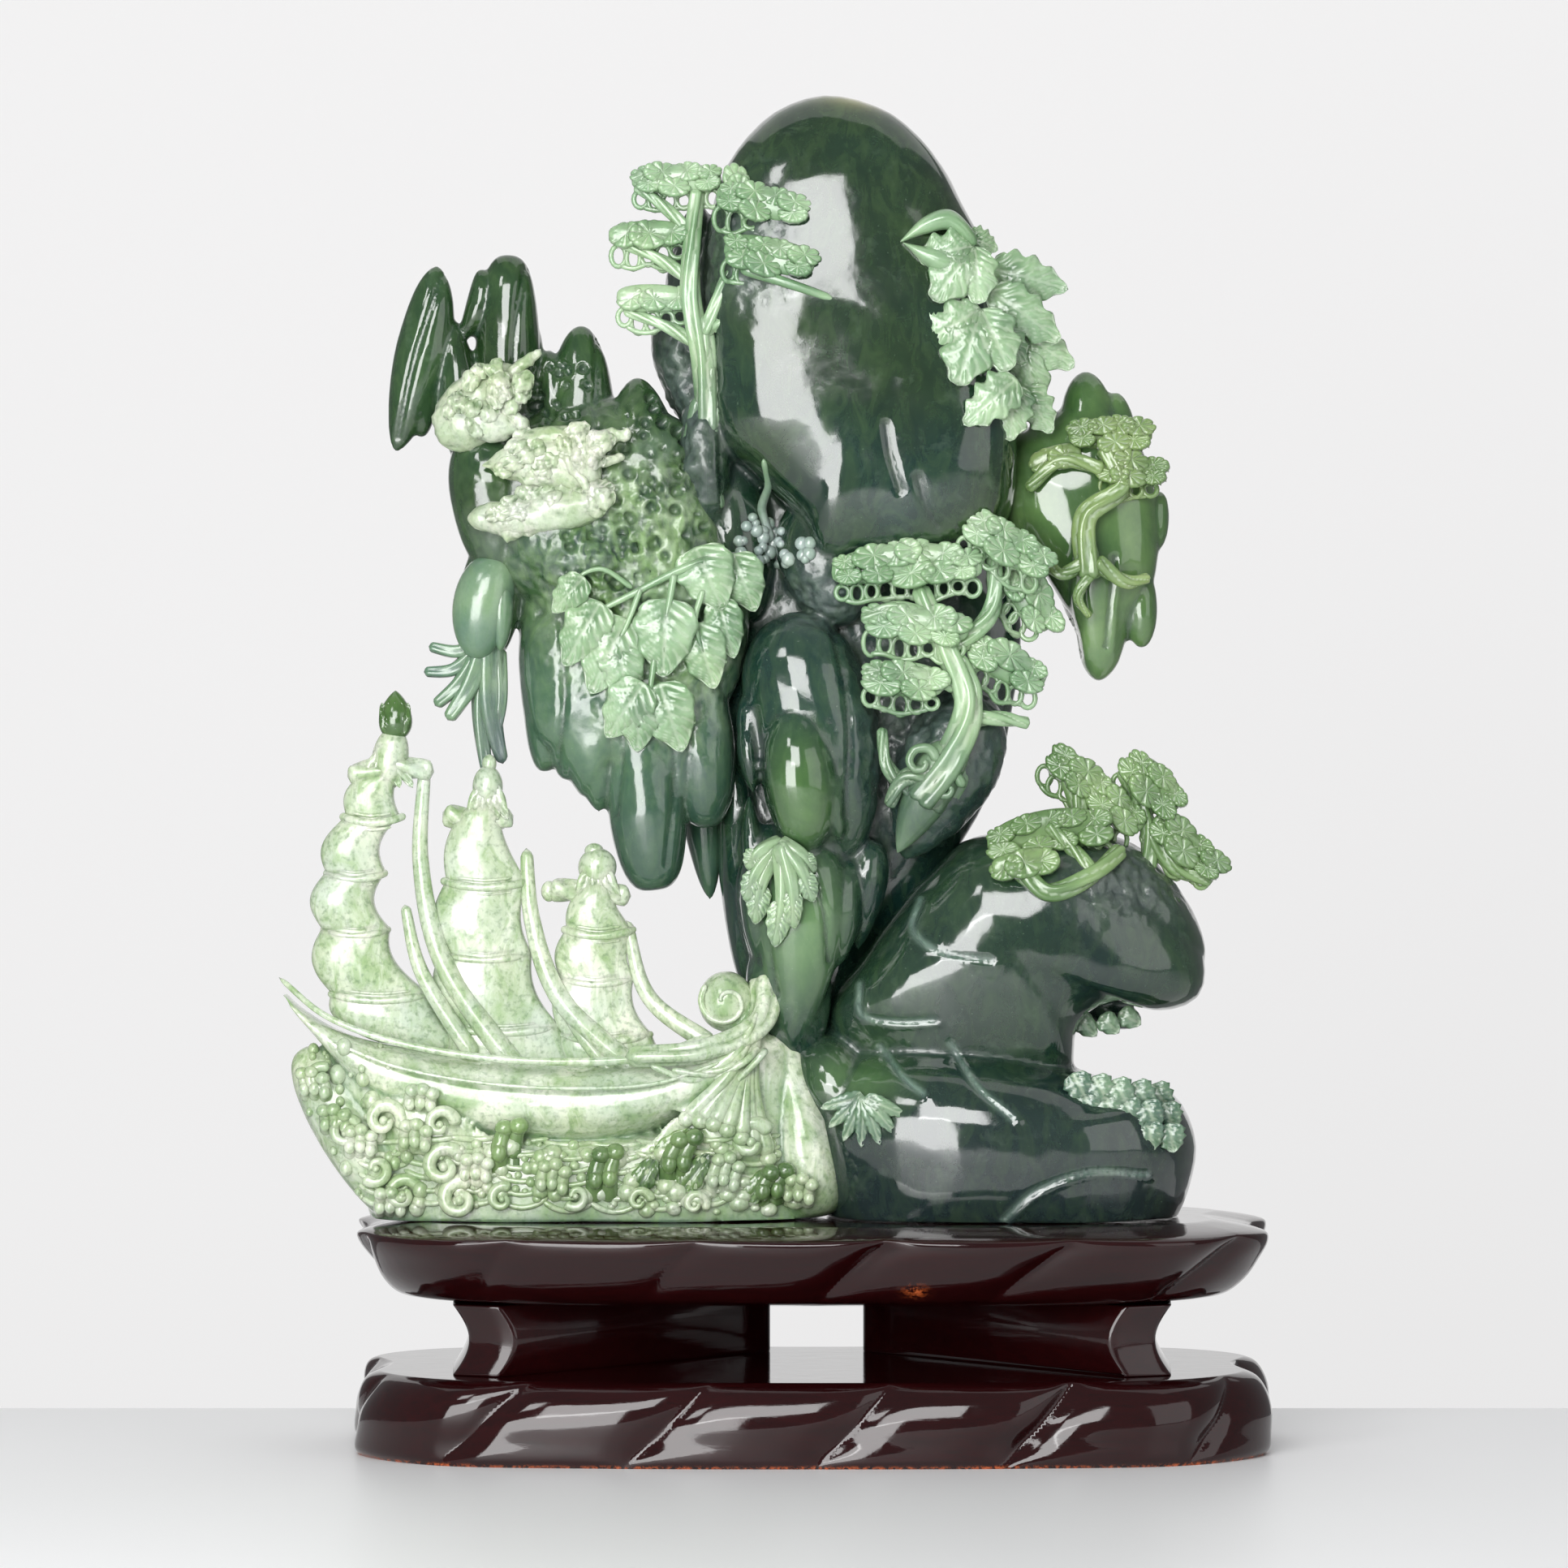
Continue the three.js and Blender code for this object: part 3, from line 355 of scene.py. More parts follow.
def points_of(piece):
    return vectors_of(piece, "co")


def normals_of(piece):
    return vectors_of(piece, "normal")


def put_layer(piece, name, values):
    """One number, or one for each corner of the mesh, that the material reads by name."""
    layer = piece.data.attributes.new(name, "FLOAT", "POINT")
    layer.data.foreach_set("value", np.broadcast_to(values, len(piece.data.vertices)).astype(np.float32))


def put_points(piece, points):
    piece.data.vertices.foreach_set("co", points.astype(np.float32).ravel())
    piece.data.update()


def applied(piece):
    graph = bpy.context.evaluated_depsgraph_get()
    mesh = bpy.data.meshes.new_from_object(piece.evaluated_get(graph))
    old = piece.data
    piece.modifiers.clear()
    piece.data = mesh
    mesh.name = piece.name
    bpy.data.meshes.remove(old)


def polished(piece):
    """Applies the modifiers and shades every face smooth."""
    applied(piece)
    piece.data.polygons.foreach_set("use_smooth", np.ones(len(piece.data.polygons), bool))


def carved(name, forms, voxel):
    """One skin over forms that run into each other, its creases softened as by polishing (voxel in mm)."""
    places, faces = joined(forms)
    piece = mesh_object(name, world(places), faces)
    skin = piece.modifiers.new("skin", "REMESH")
    skin.mode = "VOXEL"
    skin.voxel_size = voxel * MM
    soft = piece.modifiers.new("soft", "SMOOTH")
    soft.factor = POLISH_SHARE
    soft.iterations = POLISH_PASSES
    polished(piece)
    return piece


# Colour and polish, kept on every corner of the skin


def linear(red, green, blue):
    """A colour as seen on a screen, 0 to 255, as a shader's colour."""
    c = np.array([red, green, blue]) / 255
    return np.where(c <= 0.04045, c / 12.92, ((c + 0.055) / 1.055) ** 2.4)


DEEP = linear(27, 48, 33)
TEAL = linear(18, 46, 44)
NIGHT = linear(24, 44, 44)
HONEY = linear(150, 150, 82)


def wobble(points, size, seed):
    """Smooth repeatable noise, -1 to 1, at each place (in squares), with lumps of this size."""
    shift = Vector((11.3 * seed, 5.1 * seed, 7.7 * seed))
    return np.array([noise.noise(Vector(p) / size + shift) for p in points])


def near(q, middle, reach):
    """1 at a place, falling to 0 at a distance: reach is one number or one for each direction."""
    d = (q - np.array(middle, float)) / np.array(reach, float)
    return np.exp(-np.einsum("ij,ij->i", d, d))


def mix(a, b, share):
    share = np.clip(np.asarray(share), 0, 1)[:, None]
    return np.asarray(a) * (1 - share) + np.asarray(b) * share


def paint(piece, colour, matt, moss):
    """Colour, how matt, and how mossy: one value for each corner of the mesh."""
    tones = np.ones((len(piece.data.vertices), 4), np.float32)
    tones[:, :3] = np.clip(colour, 0, 1)
    tint = piece.data.attributes.new("tint", "FLOAT_COLOR", "POINT")
    tint.data.foreach_set("color", tones.ravel())
    put_layer(piece, "matt", matt)
    put_layer(piece, "moss", moss)


def hollows(piece, reach):
    """How sunken each corner is against the skin round it: above 0 in a crease."""
    points = points_of(piece)
    edges = np.empty(2 * len(piece.data.edges), np.int32)
    piece.data.edges.foreach_get("vertices", edges)
    edges = edges.reshape(-1, 2)
    count = np.bincount(edges.ravel(), minlength=len(points)).astype(float)[:, None]
    mean = points.copy()
    for _ in range(reach):
        total = np.zeros_like(mean)
        for k in range(3):
            total[:, k] = np.bincount(edges[:, 0], mean[edges[:, 1], k], len(points))
            total[:, k] += np.bincount(edges[:, 1], mean[edges[:, 0], k], len(points))
        mean = total / np.maximum(count, 1)
    return np.einsum("ij,ij->i", mean - points, normals_of(piece)) / MM


# The rock


def crown_forms():
    crown = [
        (1.5, 139.8), (8.5, 138), (14.5, 133), (19, 126), (22.2, 118), (24.5, 108),
        (25.6, 95), (24, 86), (18, 82.5), (9, 82), (1, 81), (-1.5, 86.5),
        (-7, 92), (-12, 97), (-13.2, 109), (-13, 121), (-10.5, 131), (-5, 137.3),
    ]
    backing = [
        (6, 96), (20, 90), (26, 77), (25.8, 65), (22.5, 53), (15, 41),
        (6.5, 30), (1, 17), (-3, 16), (-8, 26), (-11.5, 41), (-12, 61), (-12.6, 82), (-9, 96),
    ]
    shoulder = [(-17.5, 125), (-19, 115), (-20.3, 109), (-18.5, 103), (-15, 96), (-14, 82)]
    crack = [(-12, 128), (-11, 118), (-11, 108), (-10, 98), (-9, 88), (-6, 78)]
    blunt = dict(ends=(0.4, 0.5))
    return [
        boulder((5.5, 101.5, 1), crown, 12, 10, full=3.3),
        boulder((6, 63, -5), backing, 7, 9),
        ribbon(shoulder, crack, -2, 5),
        lobe((-2, 89, 3), (5, 74, 4), 5.5, 5),
        lobe((-6, 86, -8), (-8.4, 46, -8), 5.4, 6, **blunt),
        lobe((3.4, 92, -11), (0, 38, -12), 6.4, 5.4, **blunt),
        lobe((14, 88, -11), (9.6, 48, -10), 5.6, 5, **blunt),
        lobe((21.6, 80, -8), (16.4, 54, -8), 4.6, 5, **blunt),
        lobe((-2, 44, -8), (-1, 2, -9), 6.4, 7, ends=(0.5, 0.3)),
        lobe((-13, 102, -1), (-7.4, 74, 0), 5, 5),
        lobe((-13.4, 102, 5), (-12.6, 86, 4), 3.2, 4, ends=(0.5, 0.7)),
        lobe((21, 65, 3), (11.4, 44.4, 4), 6.2, 5.4, ends=(0.45, 0.7)),
    ]


def drop_forms():
    return [
        lobe((-3, 75, 4), (3.5, 44, 5), 8.2, 7, ends=(0.4, 0.5)),
        lobe((-2.5, 63.6, 9), (-0.4, 45.4, 9), 4.8, 4.8),
        lobe((2.5, 58.5, 9), (3.4, 46.8, 9), 1.4, 2.2),
        lobe((-8.2, 65, 5), (-7.5, 54, 6), 1.6, 2.8, ends=(0.5, 0.8)),
        lobe((-7.8, 53, 4), (-7.3, 42.6, 4.6), 1.5, 2.4, ends=(0.9, 0.6)),
        lobe((-1, 50, 3), (-2.7, 26, 4), 7.6, 6.2, ends=(0.35, 0.6)),
        lobe((7.5, 47, 3), (5.6, 33, 4), 2.8, 4, ends=(0.4, 0.9)),
        lobe((-3.5, 36, 4), (-1.5, 17, 4), 5.4, 5.2, ends=(0.45, 0.8)),
        lobe((-3, 33, -1), (-1.3, 15, 0), 5.2, 5.2, ends=(0.5, 0.6)),
        lobe((-10, 60, -2), (-7.6, 28, -1), 2.8, 5, ends=(0.4, 0.4)),
        lobe((-0.6, 47, 7), (-2.4, 20.5, 7), 5.7, 4.2, ends=(0.35, 0.75)),
        lobe((-7.4, 44, 5), (-6, 30, 6), 1.9, 3, ends=(0.6, 0.8)),
        lobe((4.6, 45, 5.4), (3.4, 31, 6.4), 2.2, 3.2, ends=(0.6, 0.8)),
        lobe((-8.4, 62, 6), (-7.2, 52.6, 7), 1.5, 2.6, ends=(0.6, 0.8)),
    ]


def cliff_forms():
    mass = [
        (-43, 97), (-35, 100), (-25, 102), (-15, 98), (-11, 84), (-8, 79),
        (-8, 71), (-11, 63), (-17, 58.5), (-23, 60), (-30, 66), (-35, 76), (-40, 80), (-43, 86),
    ]
    return [
        boulder((-25, 82, 2), mass, 7.5, 8),
        lobe((-46.6, 118.4, 3), (-51.8, 95.2, 3), 3.5, 3, ends=(0.6, 0.7), bow=-0.6),
        lobe((-47.2, 108.4, 2.5), (-48.7, 97, 2.5), 1.8, 2.3),
        lobe((-44.8, 111.8, 2.5), (-43, 93, 3), 2.6, 3.3, ends=(0.6, 0.5)),
        lobe((-37.8, 119.8, 2), (-38, 94, 2), 4, 4, ends=(0.35, 0.4)),
        lobe((-41, 118, 2.6), (-43.4, 109.4, 2.6), 1.6, 2.3, bow=-0.8),
        lobe((-35.2, 112.4, 1), (-35, 102, 1), 1.6, 2.3),
        lobe((-28.8, 111.2, 1), (-29, 88, 1), 4.6, 4.4, ends=(0.5, 0.3)),
        lobe((-32.8, 108, 1.4), (-32, 97, 1.4), 1.9, 2.7),
        lobe((-21.8, 104.6, 3), (-18, 70, 4), 6.5, 6, ends=(0.55, 0.35), bow=0.8),
        lobe((-41, 98, 4), (-38.4, 79, 4), 5.1, 5, ends=(0.35, 0.5)),
        lobe((-38, 89, 6), (-23.5, 78, 7), 5.3, 4.4, ends=(0.4, 0.4)),
        lobe((-34.4, 80, 2), (-33.2, 55.4, 2), 2.6, 4.4, ends=(0.4, 0.35)),
        lobe((-31, 75, 4), (-30, 54.4, 3), 3, 4.4, ends=(0.4, 0.35)),
        lobe((-28, 72, 4.6), (-26.4, 50.4, 4), 3.6, 4.6, ends=(0.4, 0.6)),
        boulder((-25, 66, 3), [(-35, 74), (-26, 78), (-13, 76), (-11, 62), (-15.6, 51), (-19, 54), (-21, 50),
                               (-24.6, 55), (-28, 52), (-31.6, 57), (-34.6, 60)], 6, 5, full=2.8),
        lobe((-22, 69, 4), (-19.6, 40.6, 3.5), 5, 5.4, ends=(0.35, 0.3)),
        lobe((-14.5, 69, 3), (-13, 48.4, 3), 4.3, 5, ends=(0.4, 0.4)),
        lobe((-14.5, 60, -3), (-12.7, 39.4, -3), 2.7, 3.4, ends=(0.4, 0.7)),
        lobe((-39, 85, 3), (-41.2, 69, 3), 3.9, 3.5, ends=(0.4, 0.4)),
        lobe((-21, 102, -3), (-22, 62, -4), 6, 4.6, ends=(0.4, 0.5)),
        lobe((-32, 101, -3), (-30.6, 68, -3), 5.6, 4.4, ends=(0.4, 0.5)),
    ]


def right_forms():
    hanging = [
        (25.4, 97), (29.6, 99.6), (34.5, 103), (38.5, 100), (41.6, 95), (43.4, 87),
        (42.8, 79), (39.8, 73), (38, 68.2), (35.8, 66.6), (34, 68.4), (33, 73.4), (29.5, 80), (25, 88),
    ]
    upper = [
        (2, 24), (8, 34.5), (14, 42), (19, 46.8), (27, 48), (37, 47.2), (43, 43),
        (47, 37), (49.2, 31.5), (48.4, 27.4), (44, 25.6), (37.4, 26.6), (33.4, 24),
        (32, 17), (22, 15), (10, 16),
    ]
    lower = [
        (-1, 14), (2, 19), (10, 22), (20, 22), (30, 19.8), (38, 16.6), (45, 15.2),
        (47.9, 10), (47.6, 5), (44.4, -2), (38, -6), (20, -6), (6, -5), (0, 5),
    ]
    return [
        boulder((34.5, 87, -1), hanging, 5.6, 5),
        lobe((34.2, 105.6, -1), (35, 92, 0), 3.6, 3.4, ends=(0.5, 0.4)),
        lobe((29, 102, -1), (29.4, 90, 0), 2.6, 3, ends=(0.7, 0.4)),
        lobe((25.6, 99, -1), (26.4, 84, -1), 2.5, 3.6, ends=(0.7, 0.4)),
        lobe((38, 103, -1), (39.4, 91, -1), 2.1, 2.8),
        lobe((43.6, 90.6, -1), (43, 83, -1), 1.5, 2),
        lobe((41.4, 80.6, 0), (41.2, 70.8, 0), 2, 2.4),
        lobe((34, 99, -4), (35, 72, -3), 4.6, 3.4, ends=(0.4, 0.5)),
        boulder((24, 34, 0), upper, 12, 13),
        boulder((23, 9, -1), lower, 17.5, 17),
        lobe((35, 47, 0), (48.8, 31, 0), 4.3, 7.6, ends=(0.5, 0.6)),
        lobe((32, 26.6, -6), (41.6, 24, -6), 2.1, 4),
        lobe((-1.4, 22, 0), (7, 10, 6), 5.4, 7),
    ]


def sea_forms():
    swell = [
        (-63.6, 20.6), (-58, 17), (-50, 13), (-42, 11.4), (-30, 11), (-16, 12),
        (-8, 19), (-3, 24), (0, 16), (1, 2), (-2, -6), (-30, -6), (-52, -6), (-56, 3), (-61, 13),
    ]
    rim = [
        (-66.6, 30.2), (-65.4, 28.6), (-60, 25), (-54.4, 22.9), (-46.8, 21.2), (-40.8, 20.2),
        (-32, 19.4), (-24, 19.2), (-15, 20.5), (-9.5, 24), (-6.6, 28),
    ]
    keel = [
        (-66.4, 29.8), (-63.6, 25), (-60.4, 20.6), (-56.6, 16.4), (-50, 12.6), (-42, 10.2),
        (-34, 9.6), (-26, 9.8), (-16, 12.6), (-9, 18), (-5.4, 26),
    ]
    return [
        boulder((-26, 6, 0), swell, 13, 15, full=3),
        lobe((-63.4, 21, 5), (-50, 1, 6), 4.7, 5.3, ends=(0.4, 0.3)),
        lobe((-55, 17.4, 7), (-38, 5, 9), 4.9, 5.3),
        lobe((-5.8, 28, 5), (-12.6, 8.4, 11), 4.6, 3.5, ends=(0.9, 0.25)),
        lobe((-4.4, 27, 3), (0.8, 0, 5), 4.6, 7, ends=(0.8, 0.3)),
        ribbon(rim, keel, 7, 6.5, ends=(0.5, 0.25)),
        ovoid((-10.6, 27, 6), 3.5, 3.7, 3.7),
    ]


FLOOR_CUT = 0.0005


def seated(piece):
    """Cuts the foot flat where the stone stands on the stand."""
    points = points_of(piece)
    points[:, 2] = np.maximum(points[:, 2], SEAT + FLOOR_CUT)
    put_points(piece, points)


peak = carved("jade_peak", crown_forms() + drop_forms(), 1.25)
cliff = carved("jade_cliff", cliff_forms(), 1.05)
right = carved("jade_right_rocks", right_forms(), 1.3)
sea = carved("jade_sea", sea_forms(), 1.25)
rocks = [peak, cliff, right, sea]
for rock in rocks:
    seated(rock)


def skin_tree(pieces):
    points, faces, base = [], [], 0
    for piece in pieces:
        p = points_of(piece)
        piece.data.calc_loop_triangles()
        tri = np.empty(3 * len(piece.data.loop_triangles), np.int32)
        piece.data.loop_triangles.foreach_get("vertices", tri)
        points.append(p)
        faces.append(tri.reshape(-1, 3) + base)
        base += len(p)
    return BVHTree.FromPolygons(
        [tuple(p) for p in np.vstack(points)], [tuple(f) for f in np.vstack(faces)]
    )


def surface(across, up, fallback=None):
    """How far out the front of the rock is at a place, in squares; `fallback` beside the rock."""
    origin = Vector((across * SQUARE, -1.0, SEAT + up * SQUARE))
    hit = skin.ray_cast(origin, Vector((0, 1, 0)))[0]
    return fallback if hit is None else -hit.y / SQUARE


def laid(across, up, lift, fallback=0.0):
    return (across, up, surface(across, up, fallback - lift) + lift)


# Carving on the rock: pits, chisel work and grooves


def pressed(piece, marks, deep):
    """Presses round pits of (across, up, radius) into the front of the skin, with a soft rim."""
    points, normals = points_of(piece), normals_of(piece)
    q = squares(points)
    facing = np.clip(-normals[:, 1] * 2, 0, 1)
    lift = np.zeros(len(q))
    for across, up, radius in marks:
        d = np.hypot(q[:, 0] - across, q[:, 1] - up) / radius
        lift = np.minimum(lift, -np.clip(1 - d**2, 0, 1) * radius) + 0.1 * np.exp(-(((d - 1.25) / 0.25) ** 2)) * radius
    put_points(piece, points + normals * (lift * facing * deep * SQUARE)[:, None])


def from_path(q, path):
    """How far each place is from the nearest point of a path, seen from the front."""
    return np.min(np.hypot(q[:, 0][:, None] - path[:, 0], q[:, 1][:, None] - path[:, 1]), axis=1)


def scored(piece, line, wide, deep):
    """Cuts a groove (or raises a ridge, below 0) along a line of (across, up) places."""
    path = flat_line(line, 40)[:, :2]
    points, normals = points_of(piece), normals_of(piece)
    q = squares(points)
    close = np.where((np.abs(q[:, 0] - path[:, 0].mean()) < 30) & (normals[:, 1] < 0.1))[0]
    d = from_path(q[close], path)
    points[close] -= normals[close] * (deep * SQUARE * np.exp(-((d / wide) ** 2)))[:, None]
    put_points(piece, points)


def weather(piece, broad, lumps):
    """The waviness that polishing by hand leaves, and rougher lumps where `lumps` says."""
    points, normals = points_of(piece), normals_of(piece)
    q = squares(points)
    lift = broad * wobble(q, 10, 1) + 0.2 * wobble(q, 3.4, 2)
    share = lumps(q)
    close = np.where(share > 0.05)[0]
    lift[close] += share[close] * (2.2 * wobble(q[close], 2.2, 31) + 1.3 * wobble(q[close], 0.9, 32))
    put_points(piece, points + normals * (lift * MM)[:, None])


def distance(q, line):
    """How far each place is from a line of (across, up) places; 9 where it isn't close."""
    path = flat_line(line, 30)[:, :2]
    far = np.full(len(q), 9.0)
    low, high = path.min(0) - 1.5, path.max(0) + 1.5
    close = np.where(((q[:, :2] > low) & (q[:, :2] < high)).all(1))[0]
    far[close] = from_path(q[close], path)
    return far


scores = [
    [(13.5, 39.5), (12.5, 36), (15, 33.5), (22, 32.2)], [(6, 29), (6.2, 25.5), (10, 24.6), (15, 24.8)],
    [(17, 22), (20, 17), (24.5, 13)], [(8.5, 21.5), (11, 18), (13.5, 16)],
    [(23.5, 0.7), (27, 4), (34, 6.5), (41, 6)],
]


def thinned(piece, keep):
    thin = piece.modifiers.new("thin", "DECIMATE")
    thin.ratio = keep
    polished(piece)


def crusted(q):
    return np.clip(near(q, (-24, 84, 9), (12, 13, 7)) + 0.9 * near(q, (-18, 69, 9), (9, 9, 6)), 0, 1)


def chiselled(q):
    patch = 0.8 * near(q, (-8.4, 119, 12), (4.6, 6, 8)) + near(q, (-16, 100, 4), (3.4, 22, 9)) + 0.05 * (q[:, 2] < -7)
    patch = patch + near(q, (1, 77, 8), (6, 3.6, 7)) + 0.9 * near(q, (39, 42, 8), (7, 4.6, 9)) + near(q,
        (14, 62, 4), (9, 12, 6))
    return np.clip(1.3 * patch, 0, 1)


draws = scatter(600, 7).reshape(-1, 3)
pits = []
for a, b, c in draws:
    across, up, radius = -31 + 20 * a, 70 + 32 * b, 0.32 + 0.8 * c**1.5
    if up < 103 - 1.1 * abs(across + 20) and all(math.hypot(across - x, up - y) > 0.72 * (radius + r) for x, y,
                                                 r in pits):
        pits.append((across, up, radius))
pits += [(-36 + 9 * a, 99 + 7 * b, 0.4 + 0.3 * c) for a, b, c in draws[:26]]

# Each rock with the share of its triangles that is kept
for rock, keep in ((peak, 0.34), (cliff, 0.5), (right, 0.36), (sea, 0.42)):
    weather(rock, 1.3 if rock is peak else 0.7, crusted if rock is cliff else chiselled)
    if rock is cliff:
        pressed(rock, pits, 1.25)
        for line in (
            [(-46, 117), (-49.4, 106), (-51.4, 97)], [(-35.6, 118), (-37, 108), (-36.6, 100)],
            [(-26.6, 110), (-27, 100), (-27.6, 94)], [(-31, 74), (-30.6, 64), (-31.6, 56)],
            [(-24, 68), (-23.4, 58), (-24.4, 50)], [(-17.6, 66), (-17, 54), (-18, 44)],
        ):
            scored(rock, line, 0.5, 0.3)
    if rock is peak:
        for line in (
            [(9, 98), (9.6, 94), (10.8, 90)], [(13, 91.4), (14, 88), (15.4, 85.6)],
            [(-11.6, 121), (-12.4, 108), (-11.6, 97), (-11, 86)],
            [(2.6, 74), (4.6, 62), (4.2, 50)], [(-7, 63), (-6, 54), (-4.6, 48)],
            [(-2, 46), (1, 40), (2.2, 32)], [(-6, 44), (-5.6, 36), (-4.4, 28)],
        ):
            scored(rock, line, 0.55, 0.35)
        scored(rock, [(-11.4, 102), (-12, 95), (-11.6, 88), (-10.4, 82)], 0.4, -0.3)
    if rock is right:
        for line in scores + [[(33, 84), (32, 78), (33.6, 70)], [(37.6, 82), (37, 76), (36.6, 71)]]:
            scored(rock, line, 0.42, 0.32)
            scored(rock, [(a + 0.75, b - 0.5) for a, b in line], 0.35, -0.2)
    thinned(rock, keep)


def paint_rock(piece, colour_of, rough_of, moss_of):
    q = squares(points_of(piece))
    dips = np.clip(hollows(piece, 5) * 3.2, 0, 1)
    colour = colour_of(q, dips)
    paint(piece, colour, np.clip(rough_of(q, dips), 0, 1), np.clip(moss_of(q), 0, 1))


def patched(q, colour, patches):
    """Blends other colours in round places: (colour, share, place, reach)."""
    for other, share, place, reach in patches:
        colour = mix(colour, other, share * near(q, place, reach))
    return colour


def peak_colour(q, dips):
    swirl = wobble(q, 15, 3)
    c = mix(DEEP, TEAL, 0.45 + 0.9 * swirl - 0.012 * (q[:, 1] - 85))
    c = mix(c, linear(36, 58, 32), 0.8 * np.clip(wobble(q, 11, 5) * 2, 0, 1) * (q[:, 1] > 80))
    c = patched(q, c, [
        # HONEY at the very top edge: the stone's own yellow-green, with a painted glow of light passing through the
        # thin edge.
        (HONEY, 1, (7, 139.5, 5), (5, 1.6, 3.4)),
        (linear(72, 106, 58), 1, (-1.2, 53, 14), (4.4, 9, 5)),
        (linear(100, 134, 92), 0.95, (-1, 35, 12), (6, 10, 5)),
        (linear(36, 64, 58), 0.6, (0, 65, 10), (8, 8, 6)),
        (NIGHT, 0.8, (5, 79, 8), (10, 5, 7)),
    ])
    c = mix(c, linear(78, 92, 90), 0.7 * chiselled(q))
    # Painted shade: the creases are darkened towards NIGHT.
    return mix(c, NIGHT * 0.7, 0.6 * dips)


def cliff_colour(q, dips):
    c = mix(linear(32, 56, 30), linear(42, 70, 44), 0.5 + wobble(q, 8, 4))
    c = mix(c, linear(54, 82, 70), np.clip((76 - q[:, 1]) / 8, 0, 1))
    c = mix(c, linear(84, 120, 92), 0.5 * near(q, (-27, 60, 8), (8, 12, 6)))
    crust = crusted(q)
    pale = 0.5 + 1.3 * wobble(q, 3.4, 8) + 1.1 * wobble(q, 1.1, 18)
    c = mix(c, linear(158, 180, 152), 0.85 * crust * np.clip(pale, 0, 1))
    c = mix(c, linear(46, 76, 66), 0.85 * near(q, (-30, 83, 10), (7, 3.4, 6)))
    hole = np.zeros(len(q))
    for across, up, radius in pits:
        close = np.abs(q[:, 0] - across) < 2
        d = np.hypot(q[close, 0] - across, q[close, 1] - up) / radius
        hole[close] = np.maximum(hole[close], np.exp(-((d / 0.75) ** 4)))
    c = mix(c, linear(52, 82, 60), (0.45 + wobble(q, 4, 21)) * hole * (q[:, 2] > 2))
    # Painted shade: the creases take a dark blue-green, which darkens them most where the crust is pale.
    return mix(c, linear(40, 62, 52), 0.55 * dips)


def right_colour(q, dips):
    hang = np.clip((q[:, 1] - 58) / 4, 0, 1)
    boulders = mix(linear(23, 43, 42), linear(35, 58, 44), 0.5 + 1.2 * wobble(q, 13, 6) + 0.03 * (q[:, 1] - 30))
    boulders = mix(boulders, linear(34, 46, 50), 0.85 * np.clip(1.2 - q[:, 1] / 15, 0, 1))
    boulders = mix(boulders, linear(96, 132, 84), 0.6 * near(q, (5, 18, 12), (6, 4, 8)))
    boulders = mix(boulders, linear(70, 80, 78), 0.75 * chiselled(q))
    for line in scores:
        boulders = mix(boulders, linear(132, 156, 148),
                       0.7 * np.exp(-((distance(q, line) / 0.42) ** 2)) * (q[:, 2] > 0))
    hanging = mix(linear(60, 92, 50), linear(88, 118, 72), 0.5 + wobble(q, 7, 2))
    hanging = mix(hanging, linear(112, 142, 98), 0.7 * near(q, (35, 70, 3), (6, 6, 6)))
    # Painted shade: the creases are darkened towards NIGHT.
    return mix(mix(boulders, hanging, hang), NIGHT, 0.5 * dips)


def sea_colour(q, dips):
    c = mix(linear(196, 208, 184), linear(220, 226, 212), 0.5 + 1.2 * wobble(q, 6, 7))
    c = mix(c, linear(128, 162, 106), 0.75 * np.clip(wobble(q, 4.4, 9) * 3 - 0.3, 0, 1))
    c = mix(c, linear(120, 150, 108), 0.7 * np.clip((8 - q[:, 1]) / 8, 0, 1))
    c = mix(c, linear(84, 108, 108), 0.85 * np.clip((0.9 - q[:, 1]) / 1.2, 0, 1))
    # Painted shade: the creases of the pale sea and hull take a darker green.
    return mix(c, linear(104, 134, 100), 0.85 * dips)


def plain_share(amount):
    return lambda q: np.full(len(q), amount)


paint_rock(peak, peak_colour, lambda q, d: 0.6 * d + chiselled(q) + (q[:, 2] < -9) * 0.3, plain_share(0.1))
paint_rock(cliff, cliff_colour, lambda q, d: 0.5 * d + 0.75 * crusted(q) + (q[:, 2] < -5) * 0.3,
           lambda q: 0.7 * crusted(q) + 0.1)
paint_rock(right, right_colour, lambda q, d: 0.5 * d + 0.9 * chiselled(q) + (q[:, 2] < -10) * 0.3, plain_share(0.08))
paint_rock(sea, sea_colour, lambda q, d: 0.4 * d + 0.2, plain_share(0.75))
skin = skin_tree(rocks)


# Leaves, pines, sails and waves: each laid on the front of the rock


def draped(start, end, lift=0.5, most=6.0):
    """Moves a form's two ends out until the line between them clears the rock."""
    start, end = np.array(start, float), np.array(end, float)
    shift = 0.0
    for t in np.linspace(0, 1, 5):
        p = start + (end - start) * t
        level = surface(p[0], p[1])
        if level is not None:
            shift = max(shift, level + lift - p[2])
    shift = min(shift, most)
    return start + shift * OUT, end + shift * OUT


def laid_leaf(heel, tip, half, lift=0.4, **shape):
    heel, tip = draped(heel, tip, lift)
    return leaf(heel, tip, half, **shape)


def palmate(heel, tip, half, lift=0.5, **shape):
    """A leaf of three lobes from one heel."""
    heel, tip = draped(heel, tip, lift)
    run = tip - heel
    forms = [leaf(heel, tip, half * 0.66, **shape)]
    for turn, share in ((0.72, 0.84), (-0.72, 0.84)):
        c, s = math.cos(turn), math.sin(turn)
        way = np.array([c * run[0] - s * run[1], s * run[0] + c * run[1], run[2] - 0.5])
        forms.append(leaf(heel, heel + share * way, half * 0.6, **shape))
    return forms


